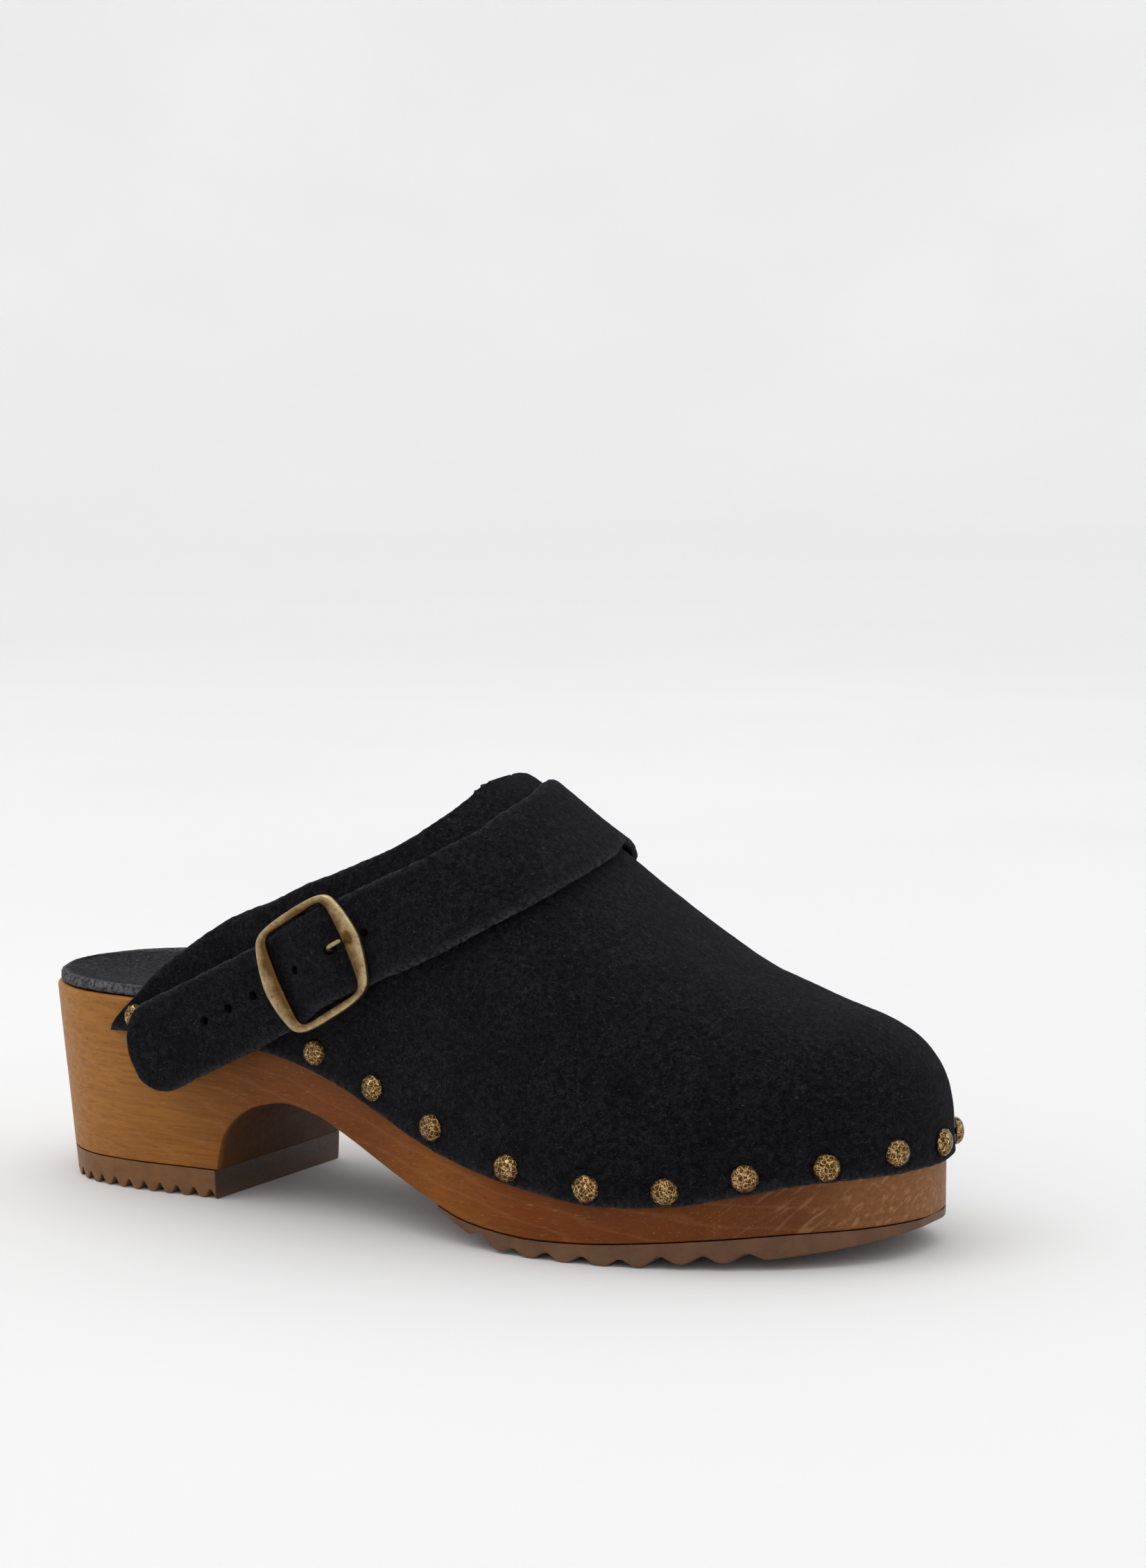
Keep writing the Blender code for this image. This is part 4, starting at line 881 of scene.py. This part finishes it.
def strap_distances(run):
    """Places of the strap's rings along it: close together in both round ends."""
    to_cap = (0.0003, 0.003, 0.01, 0.025, 0.05, 0.09, 0.14, 0.2, 0.28, 0.38, 0.5, 0.65, 0.8)
    to_end = (0.2, 0.4, 0.55, 0.7, 0.8, 0.88, 0.94, 0.97, 0.99, 0.997, 0.9997)
    tail = [-TAIL_LENGTH + TAIL_CAP * share for share in to_cap]
    end = [run.inner_pivot + INNER_END_LENGTH * share for share in to_end]
    start, count = -TAIL_LENGTH + TAIL_CAP, 420
    return tail + [start + (run.inner_pivot - start) * k / count for k in range(count + 1)] + end


def strap(run, matrix, material):
    rings, marks = [], []
    places = strap_distances(run)
    for distance in places:
        to_end = min(distance - places[0], places[-1] - distance)
        thick = STRAP_THICK * math.sqrt(max(0.02, 1 - (1 - min(1.0, to_end / 1.0)) ** 2))
        low = profile(STRAP_LIFT, distance) + (STRAP_THICK - thick) / 2
        ring, ring_marks = strap_ring(distance, run, low, thick)
        rings.append(ring)
        marks += [max(mark, math.exp(-to_end / 0.7)) for mark in ring_marks]
    mesh = loft("strap_suede", rings, marks)
    holes = []
    for step in OTHER_HOLES:
        here, _, across, out = run.frame(PRONG_HOLE_AT + step)
        lift = profile(STRAP_LIFT, PRONG_HOLE_AT + step) + STRAP_THICK / 2
        holes.append((here + across * HOLES_ACROSS + out * lift, out))
    prong_out = matrix.col[2].to_3d()
    mesh = cut(mesh, rods("strap_holes", holes, HOLE_R, 4, 4))
    for slip in (-PRONG_HOLE_SLIP, PRONG_HOLE_SLIP):
        prong_hole = matrix @ Vector((PRONG_HOLE_AT - BUCKLE_AT + slip, PRONG_ACROSS, PRONG_HOLE_LIFT))
        mesh = cut(mesh, rods("prong_hole", [(prong_hole, prong_out)], PRONG_HOLE_R, 3.0, 3.0))
    nail = next(place for place in NAILS if place[0] == "strap_nail")
    mesh = cut(mesh, rods("nail_hole", [nail[1:]], NAIL_HOLE_R, 6, 6))
    mesh.shade_smooth()
    piece = add_piece("strap_suede", mesh, material, "strap", ["strap"])
    piece.data.set_sharp_from_angle(angle=math.radians(60))


# ---------------------------------------------------------------- chape, buckle and prong


def buckle_matrix(run):
    """The buckle's own frame: origin on the centre bar, X along the strap, Y to its lower edge, Z out."""
    here, along, across, out = run.frame(BUCKLE_AT)
    turn = Matrix((along, across, out)).transposed().to_4x4()
    return Matrix.Translation(here + out * BAR_LIFT) @ turn


def chape_line():
    """The chape's middle line as (distance along the strap, lift): out to the bar, round it and back."""
    low = CHAPE_LOW + CHAPE_THICK / 2
    high = CHAPE_LOW + 1.5 * CHAPE_THICK + BAR_PLAY
    turn_r = BAR_R + BAR_PLAY + CHAPE_THICK / 2
    fold = [(BUCKLE_AT + turn_r * math.sin(a), BAR_LIFT - turn_r * math.cos(a))
            for a in (math.pi * k / 16 for k in range(17))]  # fmt: skip
    back = [(BUCKLE_AT - 3, BAR_LIFT + turn_r), (BUCKLE_AT - 6.5, high + 0.8), (BUCKLE_AT - 10, high + 0.1),
            (BUCKLE_AT - 14, high)]  # fmt: skip
    flat = [(-CHAPE_END + 1.05 * k, low) for k in range(42)] + [(BUCKLE_AT - 3, low)]
    return flat + fold + back + [(-CHAPE_END + 1.05 * k, high) for k in range(31, -1, -1)]


def chape(run, matrix, material):
    line = chape_line()
    rings = []
    for k, (distance, lift) in enumerate(line):
        before, after = line[max(0, k - 1)], line[min(len(line) - 1, k + 1)]
        length = math.hypot(after[0] - before[0], after[1] - before[1])
        lean, rise = -(after[1] - before[1]) / length, (after[0] - before[0]) / length
        rounding = math.sqrt(max(0.1, 1 - (min(0.0, distance) / CHAPE_END) ** 2))
        wide, half = profile(CHAPE_HALF, distance) * rounding, CHAPE_THICK / 2
        arc = [math.radians(30 * step) for step in range(7)]
        spots = [(wide - half + half * math.sin(a), -half * math.cos(a)) for a in arc]
        spots += [(-wide + half - half * math.sin(a), half * math.cos(a)) for a in arc]
        ring = []
        for y, h in spots:
            here, _, across, out = run.frame(distance + lean * h)
            ring.append(here + across * y + out * (lift + rise * h))
        rings.append(ring)
    bm = bmesh.new()
    size = Matrix.Diagonal((8 * MM, 2 * CHAPE_SLOT_HALF * MM, 8 * MM, 1))
    bmesh.ops.create_cube(bm, size=1.0, matrix=size)
    slot = mesh_from(bm, "chape_slot")
    slot.transform(placed(matrix))
    mesh = cut(loft("chape_suede", rings), slot)
    add_piece("chape_suede", mesh, material, "strap", ["buckle_chape"])


def placed(matrix):
    """The drawing's matrix in the frame's metres."""
    moved = matrix.copy()
    moved.translation = world(matrix.translation)
    return moved


def cushion(quarter, steps):
    """A smooth closed outline from the points of its first quarter, mirrored into the other three."""
    half = quarter + [(-x, y) for x, y in quarter[-2::-1]]
    loop = half + [(x, -y) for x, y in half[-2:0:-1]]
    return smooth_path([Vector((x, y, 0)) for x, y in loop], steps, closed=True)


def frame_turn():
    """The small turns by which the frame lies off the strap's own plane."""
    tilt, lean, turn = (Matrix.Rotation(math.radians(angle), 4, axis) for angle, axis in
                        ((FRAME_TILT, "Y"), (FRAME_LEAN, "X"), (FRAME_TURN, "Z")))  # fmt: skip
    return tilt @ lean @ turn


def buckle_frame(matrix, material):
    """The frame's bars have a rounded face, lower towards the window, with a notch for the prong."""
    outer, window = cushion(FRAME_QUARTER, 6), cushion(WINDOW_QUARTER, 6)
    rise = FRAME_LIFT - BAR_LIFT
    place = matrix @ Matrix.Translation((0, FRAME_DROP, rise)) @ frame_turn()
    points, marks = [], []
    section = 28
    for a, b in zip(window, outer):
        for k in range(section):
            turn = math.tau * k / section
            across = math.copysign(abs(math.cos(turn)) ** 0.62, math.cos(turn))
            up = math.copysign(abs(math.sin(turn)) ** 0.72, math.sin(turn))
            p = a.lerp(b, (across + 1) / 2)
            slope = 0.82 + 0.18 * across if up > 0 else 1.0
            p.z = up * slope * FRAME_THICK / 2 + 0.025 * rough(p, 1.2, 3)
            notch = math.exp(-((p.x - NOTCH_AT) / 0.8) ** 2 - ((p.y - PRONG_ACROSS) / 1.3) ** 2)
            notch = notch if up > 0 else 0.0
            p.z -= NOTCH_DEPTH * notch
            points.append(place @ p)
            # rubbed wear and a painted highlight: the mark grows towards each bar's outer edge, lightening
            # the brass there; the notch lowers it.
            marks.append((across + 1) / 2 - 1.6 * notch)
    bar_points, bar_faces = tube_points(centre_bar_line(rise), BAR_R, 16)
    faces = ring_faces(len(outer), section, closed=True) + moved_on(bar_faces, len(points))
    points += [matrix @ p for p in bar_points]
    marks += [0.2] * len(bar_points)
    mesh = mesh_of("buckle_frame_worn", points, faces, marks)
    add_piece("buckle_frame_worn", mesh, material, "buckle", ["buckle_frame"])


def centre_bar_line(rise):
    end = WINDOW_QUARTER[-1][1] + 1.0
    line = [(end, rise), (end, 1.2), (end - 0.4, 0.4), (end - 1.3, 0)]
    points = [Vector((0, y, z)) for y, z in line] + [Vector((0, -y, z)) for y, z in reversed(line)]
    return smooth_path([p + Vector((0, FRAME_DROP, 0)) for p in points], 3)


def moved_on(faces, offset):
    return [tuple(offset + k for k in face) for face in faces]


def tube_points(line, radius, segments, taper=None):
    """Points and faces of a round bar along a line. taper gives its width by the share along."""
    side = Vector((0, 1, 0)) if abs((line[-1] - line[0]).normalized().y) < 0.9 else Vector((1, 0, 0))
    rings = []
    for k, p in enumerate(line):
        along = (line[min(k + 1, len(line) - 1)] - line[max(k - 1, 0)]).normalized()
        a = (side - along * side.dot(along)).normalized()
        b = along.cross(a)
        r = radius * (taper(k / (len(line) - 1)) if taper else 1.0)
        turns = [math.tau * s / segments for s in range(segments)]
        rings.append([p + (a * math.cos(t) + b * math.sin(t)) * r for t in turns])
    return filled_rings(rings)


def prong_taper(share):
    """The tongue's width: a little narrower towards the tip, which is rounded off."""
    tip = 0.97
    return 1 - 0.25 * share if share < tip else 0.72 - 10 * (share - tip)


def prong(matrix, material):
    """A ring round the centre bar, and a tongue that comes up through the strap onto the frame."""
    ring_r, wire = (BAR_R + BAR_PLAY + PRONG_RING) / 2, (PRONG_RING - BAR_R - BAR_PLAY) / 2
    points = []
    around, section = 40, 12
    for i in range(around):
        a = math.tau * i / around
        way = Vector((math.cos(a), 0, math.sin(a)))
        for k in range(section):
            t = math.tau * k / section
            points.append(way * (ring_r + wire * math.cos(t)) + Vector((0, 2.2 * wire * math.sin(t), 0)))
    top = FRAME_LIFT - BAR_LIFT + FRAME_THICK / 2 + PRONG_R - 0.15
    line = [(1.45, 0, 0), (2.3, 0, 0.8), (4.6, 0, 1.0), (5.8, 0, 1.9), (6.3, 0, 3.3), (7.0, 0, top - 1.2),
            (8.2, 0, top - 0.2), (9.6, 0, top), (12.0, 0, top - 0.25)]  # fmt: skip
    tongue, tongue_faces = tube_points(smooth_path([Vector(p) for p in line], 8), PRONG_R, 20, prong_taper)
    faces = ring_faces(around, section, closed=True) + moved_on(tongue_faces, len(points))
    points = [matrix @ (p + Vector((0, PRONG_ACROSS, 0))) for p in points + tongue]
    mesh = mesh_of("buckle_prong_worn", points, faces, [0.7] * len(points))
    add_piece("buckle_prong_worn", mesh, material, "prong", ["buckle_prong"])


# ---------------------------------------------------------------- materials


class Paint:
    """A material's nodes, with short calls for the kinds that the clog needs."""

    def __init__(self, name, **fixed):
        self.material = bpy.data.materials.new(name)
        self.material.use_nodes = True
        self.tree = self.material.node_tree
        self.shader = self.tree.nodes["Principled BSDF"]
        for socket, value in fixed.items():
            self.shader.inputs[socket.replace("_", " ")].default_value = value
        self.where = self.tree.nodes.new("ShaderNodeTexCoord").outputs["Object"]

    def node(self, kind, sockets=(), **settings):
        node = self.tree.nodes.new(f"ShaderNode{kind}")
        for name, value in settings.items():
            setattr(node, name, value)
        for socket, value in dict(sockets).items():
            self.give(node.inputs[socket], value)
        return node

    def give(self, socket, value):
        if isinstance(value, bpy.types.NodeSocket):
            self.tree.links.new(value, socket)
        else:
            socket.default_value = value

    def stretched(self, scale, turn=(0, 0, 0)):
        """Coordinates times a scale along each axis, so that 1000 makes a pattern of a millimetre."""
        sockets = {"Vector": self.where, "Scale": scale, "Rotation": turn}
        return self.node("Mapping", sockets).outputs["Vector"]

    def noise(self, scale, detail=3.0, roughness=0.5, warp=0.0):
        scale = scale if isinstance(scale, tuple) else (scale,) * 3
        sockets = {"Vector": self.stretched(scale), "Scale": 1.0, "Detail": detail, "Roughness": roughness,
                   "Distortion": warp}  # fmt: skip
        return self.node("TexNoise", sockets).outputs["Fac"]

    def veins(self, scale):
        sockets = {"Vector": self.stretched((scale,) * 3), "Scale": 1.0}
        return self.node("TexVoronoi", sockets, feature="DISTANCE_TO_EDGE").outputs["Distance"]

    def spread(self, value, low, high, to_low=0.0, to_high=1.0):
        sockets = {"Value": value, "From Min": low, "From Max": high, "To Min": to_low, "To Max": to_high}
        return self.node("MapRange", sockets).outputs["Result"]

    def math(self, operation, a, b):
        return self.node("Math", {0: a, 1: b}, operation=operation).outputs["Value"]

    def mix(self, share, a, b):
        node = self.node("Mix", data_type="RGBA")
        self.give(node.inputs[0], share)
        for socket, colour in ((node.inputs[6], a), (node.inputs[7], b)):
            self.give(socket, (*colour, 1) if isinstance(colour, tuple) else colour)
        return node.outputs[2]

    def along(self, axis):
        return self.node("SeparateXYZ", {"Vector": self.where}).outputs[axis]

    def past(self, start, end):
        """From 0 to 1 between two places along the foot, in millimetres."""
        return self.spread(self.along("X"), ORIGIN.x + start * MM, ORIGIN.x + end * MM)

    def mark(self):
        """The value that the mesh carries: its closeness to a cut or rubbed edge, which on the buckle's bars
        is also a painted highlight; on the wood it marks the underside, which is painted shade.
        """
        return self.node("Attribute", attribute_name="edge").outputs["Fac"]

    def bump(self, height, depth, strength=1.0, under=None):
        """Relief of a depth in millimetres."""
        sockets = {"Height": height, "Distance": depth * MM, "Strength": strength}
        if under:
            sockets["Normal"] = under
        return self.node("Bump", sockets).outputs["Normal"]

    def finish(self, colour, roughness=None, normal=None):
        for socket, value in (("Base Color", colour), ("Roughness", roughness), ("Normal", normal)):
            if value is not None:
                self.give(self.shader.inputs[socket], value)
        return self.material


def suede(name, deep, pale, fuzz, sheen):
    """Napped leather: clumps of short fibres, brushed patches, and paler cut edges."""
    paint = Paint(name, Sheen_Weight=sheen, Sheen_Roughness=0.5, Sheen_Tint=(0.7, 0.72, 0.85, 1),
                  Specular_IOR_Level=0.05)  # fmt: skip
    clumps = paint.noise(750, 5, 0.75, 0.8)
    fibres = paint.noise((1300, 1300, 2200), 3, 0.7, 1.4)
    patches = paint.noise(70, 2, 0.5)
    brushed = paint.spread(patches, 0.25, 0.75, 0.45, 1.0)
    colour = paint.mix(paint.math("MULTIPLY", paint.spread(clumps, 0.44, 0.62), brushed), deep, pale)
    colour = paint.mix(paint.spread(fibres, 0.6, 0.68, 0, 0.8), colour, fuzz)
    edge = paint.math("MULTIPLY", paint.mark(), paint.spread(paint.noise(1000, 3), 0.38, 0.6, 0.15, 1.0))
    colour = paint.mix(edge, colour, fuzz)
    relief = paint.bump(clumps, 0.9, 1.0)
    relief = paint.bump(fibres, 0.35, 0.9, relief)
    return paint.finish(colour, paint.spread(fibres, 0.3, 0.7, 0.85, 1.0), relief)


def toe_streaks(paint, length):
    """Share of the pale, slanted streaks where the toe has been rubbed bare."""
    slant = {"Vector": paint.where, "Rotation": (0.0, -0.64, 0.52), "Scale": (0.011, 0.0011, 0.0011)}
    slanted = paint.node("Mapping", slant, vector_type="TEXTURE").outputs["Vector"]
    lines = paint.node("TexNoise", {"Vector": slanted, "Scale": 1.0, "Detail": 2.0}).outputs["Fac"]
    return paint.math("MULTIPLY", paint.spread(lines, 0.54, 0.68, 0, 0.42), paint.spread(length, 0.84, 0.96))


def sole_wood():
    """Stained, oiled wood: pale at the heel and darker forward, with level grain, flecks and rings."""
    paint = Paint("sole_wood", Specular_IOR_Level=0.15)
    length = paint.past(0, SOLE_LENGTH)
    drift = paint.spread(paint.noise(22, 2), 0, 1, -0.06, 0.06)
    tone = paint.node("ValToRGB", {"Fac": paint.math("ADD", length, drift)})
    stops = [(0.0, (0.4, 0.182, 0.048)), (0.19, (0.3, 0.115, 0.02)), (0.3, (0.16, 0.049, 0.006)),
             (0.45, (0.15, 0.039, 0.004)), (0.57, (0.23, 0.07, 0.007)), (0.68, (0.155, 0.036, 0.003)),
             (0.84, (0.13, 0.033, 0.003)), (0.92, (0.115, 0.032, 0.006)),
             (1.0, (0.24, 0.098, 0.034))]  # fmt: skip
    ramp = tone.color_ramp
    while len(ramp.elements) < len(stops):
        ramp.elements.new(0.5)
    for element, (place, colour) in zip(ramp.elements, stops):
        element.position = place
        element.color = (*colour, 1)
    grain = paint.noise((45, 900, 1100), 5, 0.6, 0.3)
    flecks = paint.noise((330, 3200, 3600), 2, 0.5)
    waves = {"Vector": paint.stretched((16, 60, 130), (0.0, 0.5, 0.25)), "Scale": 1.0, "Distortion": 3.5,
             "Detail": 3.0, "Detail Scale": 1.6}  # fmt: skip
    rings = paint.node("TexWave", waves).outputs["Fac"]
    dark = paint.mix(paint.spread(grain, 0.4, 0.7, 0.0, 0.35), tone.outputs["Color"], (0.06, 0.02, 0.005))
    pale = paint.mix(paint.spread(flecks, 0.62, 0.74, 0.0, 0.28), dark, (0.5, 0.25, 0.08))
    streaked = paint.mix(paint.spread(rings, 0.88, 1.0, 0.0, 0.06), pale, (0.5, 0.26, 0.1))
    streaked = paint.mix(toe_streaks(paint, length), streaked, (0.42, 0.22, 0.1))
    pores = paint.spread(paint.noise((240, 2600, 3000), 2, 0.5), 0.28, 0.38, 0.45, 0.0)
    colour = paint.mix(pores, streaked, (0.05, 0.018, 0.006))
    # painted shade: where the mesh marks the wood's underside, under the arch and on the heel's breast, the
    # colour darkens to deep brown.
    colour = paint.mix(paint.math("MULTIPLY", paint.mark(), 0.72), colour, (0.022, 0.009, 0.005))
    relief = paint.bump(grain, 0.1, 0.35)
    relief = paint.bump(paint.noise((200, 2400, 2400), 3), 0.05, 0.4, relief)
    return paint.finish(colour, paint.spread(paint.noise((90, 600, 600), 3), 0.3, 0.7, 0.42, 0.6), relief)


def tread_rubber():
    """Amber crepe rubber, slightly see-through, with a soft mottle and scuffs."""
    paint = Paint("tread_rubber", Specular_IOR_Level=0.45, Subsurface_Weight=0.25, Subsurface_Scale=0.002,
                  Subsurface_Radius=(1.0, 0.55, 0.25))  # fmt: skip
    mottle = paint.spread(paint.noise(160, 4, 0.6), 0.3, 0.7)
    heel = paint.mix(mottle, (0.13, 0.05, 0.009), (0.22, 0.09, 0.018))
    fore = paint.mix(mottle, (0.085, 0.032, 0.009), (0.14, 0.056, 0.017))
    colour = paint.mix(paint.past(50, 130), heel, fore)
    # painted shade: the heel tread's front face, in the hollow under the arch, is darkened towards deep
    # brown.
    breast = paint.math("SUBTRACT", paint.past(HEEL_BREAST - 0.5, HEEL_BREAST - 0.1), paint.past(66, 68))
    colour = paint.mix(paint.spread(breast, 0, 1, 0, 0.8), colour, (0.02, 0.009, 0.005))
    low = paint.spread(paint.along("Z"), 0.0, 0.004, 0.35, 0.0)
    colour = paint.mix(low, colour, (0.2, 0.11, 0.05))
    scuffs = paint.noise((300, 1500, 1500), 3)
    colour = paint.mix(paint.spread(scuffs, 0.6, 0.75, 0, 0.3), colour, (0.05, 0.022, 0.01))
    relief = paint.bump(paint.noise(900, 4, 0.6), 0.08, 0.5)
    return paint.finish(colour, paint.spread(scuffs, 0.3, 0.7, 0.38, 0.6), relief)


def worn_brass():
    """Old brass: brushed, brown in its hollows and bright where it is rubbed, with a painted highlight on
    the frame's outer edges.
    """
    paint = Paint("worn_brass", Metallic=1.0)
    brushed = paint.noise(900, 5, 0.7, 1.0)
    patches = paint.noise(260, 3, 0.6)
    patches = paint.spread(patches, 0.3, 0.7, -0.35, 0.25)
    # rubbed wear and a painted highlight: the mesh's mark, with random patches, lightens the brass.
    rubbed_and_highlight = paint.math("ADD", paint.spread(paint.mark(), 0.15, 1.0), patches)
    colour = paint.mix(paint.spread(rubbed_and_highlight, 0.0, 1.0), (0.12, 0.06, 0.018), (0.5, 0.375, 0.205))
    colour = paint.mix(paint.spread(brushed, 0.5, 0.66, 0, 0.6), colour, (0.085, 0.042, 0.013))
    relief = paint.bump(brushed, 0.06, 0.5)
    return paint.finish(colour, paint.spread(brushed, 0.3, 0.7, 0.28, 0.46), relief)


def nail_brass():
    """Crackled antique gilding over brown metal."""
    paint = Paint("nail_brass", Metallic=1.0)
    veins = paint.veins(900)
    crackle = paint.noise(1150, 4, 0.65, 1.2)
    bright = paint.math("ADD", paint.spread(veins, 0.02, 0.12, 0.45, 0.0), paint.spread(crackle, 0.54, 0.66))
    colour = paint.mix(paint.spread(bright, 0.1, 0.9), (0.085, 0.034, 0.009), (0.78, 0.55, 0.26))
    relief = paint.bump(crackle, 0.3, 0.9)
    relief = paint.bump(veins, 0.15, 0.8, relief)
    return paint.finish(colour, paint.spread(crackle, 0.4, 0.65, 0.36, 0.2), relief)


def stiffener():
    paint = Paint("stiffener")
    weave = paint.noise(1600, 3)
    colour = paint.mix(paint.spread(weave, 0.3, 0.7), (0.3, 0.25, 0.18), (0.42, 0.36, 0.27))
    return paint.finish(colour, 0.85, paint.bump(weave, 0.1, 0.5))


def repaint(node, material):
    """Gives a CAD node that stays in view its material."""
    for k in range(len(node.data.materials)):
        node.data.materials[k] = material


# ---------------------------------------------------------------- studio


def studio_floor():
    """A pale round floor that curves up into a low wall all round, so that no view shows a horizon."""
    flat, bend, wall = 3.2, 1.2, 1.6
    outline = [(flat * k / 8, 0.0) for k in range(9)]
    curve = [math.pi / 2 * k / 12 for k in range(1, 13)]
    outline += [(flat + bend * math.sin(a), bend * (1 - math.cos(a))) for a in curve]
    outline.append((flat + bend, bend + wall))
    bm = bmesh.new()
    verts = [bm.verts.new((r, 0, z)) for r, z in outline]
    edges = [bm.edges.new(pair) for pair in zip(verts, verts[1:])]
    bmesh.ops.spin(bm, geom=verts + edges, axis=(0, 0, 1), cent=(0, 0, 0), angle=math.tau, steps=64)
    bmesh.ops.remove_doubles(bm, verts=bm.verts, dist=0.0001)
    mesh = mesh_from(bm, "studio_floor")
    mesh.shade_smooth()
    floor = show("studio_floor", mesh)
    paint = Paint("studio_floor")
    radius = paint.node("VectorMath", {0: paint.where}, operation="LENGTH").outputs["Value"]
    pale = paint.mix(paint.spread(radius, 1.8, 4.4), (0.785, 0.785, 0.785), (0.975, 0.975, 0.975))
    paint.finish(paint.mix(paint.noise(3, 2), pale, (0.86, 0.86, 0.86)), 0.95)
    mesh.materials.append(paint.material)


def area_light(name, place, target, size, power):
    """A square light."""
    data = bpy.data.lights.new(name, "AREA")
    data.size = size
    data.energy = power
    light = show(name, data)
    light.location = place
    light.rotation_euler = (Vector(target) - Vector(place)).to_track_quat("-Z", "Y").to_euler()
    light.visible_camera = False


def studio_lights():
    area_light("key", (-0.9, -0.9, 1.9), (0, 0, 0.03), 1.3, 7)
    area_light("overhead", (0.1, 0.3, 2.2), (0, 0, 0), 2.4, 6)
    world_light = bpy.data.worlds.new("studio")
    bpy.context.scene.world = world_light
    world_light.use_nodes = True
    background = world_light.node_tree.nodes["Background"]
    background.inputs["Color"].default_value = (1, 1, 1, 1)
    background.inputs["Strength"].default_value = 1.0
    bpy.context.scene.view_settings.view_transform = "Standard"


def camera():
    """Looks along the photograph's line of sight: about 30 degrees round from the outer side, just above."""
    data = bpy.data.cameras.new("camera")
    data.sensor_fit = "VERTICAL"
    data.sensor_height = 36.0
    data.lens = 90.5
    view = show("camera", data)
    view.location = (0.5074, -0.8485, 0.2249)
    view.rotation_euler = (math.radians(90 - 6.75), 0, math.radians(29.59))
    bpy.context.scene.camera = view


def main():
    black = suede("upper_suede", (0.0012, 0.0012, 0.0015), (0.018, 0.0178, 0.0215), (0.062, 0.061, 0.068),
                  0.04)  # fmt: skip
    navy = suede("insole_suede", (0.008, 0.0078, 0.009), (0.06, 0.0575, 0.064), (0.15, 0.148, 0.16), 0.05)
    brass, gilt = worn_brass(), nail_brass()
    wooden_sole(sole_wood())
    rubber = tread_rubber()
    heel_tread(rubber)
    forepart_tread(rubber)
    insole_cover(navy)
    vamp(black)
    nails(gilt)
    run = Run()
    matrix = buckle_matrix(run)
    strap(run, matrix, black)
    chape(run, matrix, black)
    buckle_frame(matrix, brass)
    prong(matrix, brass)
    repaint(frame["nodes"]["toe_puff"], stiffener())
    repaint(frame["nodes"]["chape_tack"], gilt)
    studio_floor()
    studio_lights()
    camera()


main()
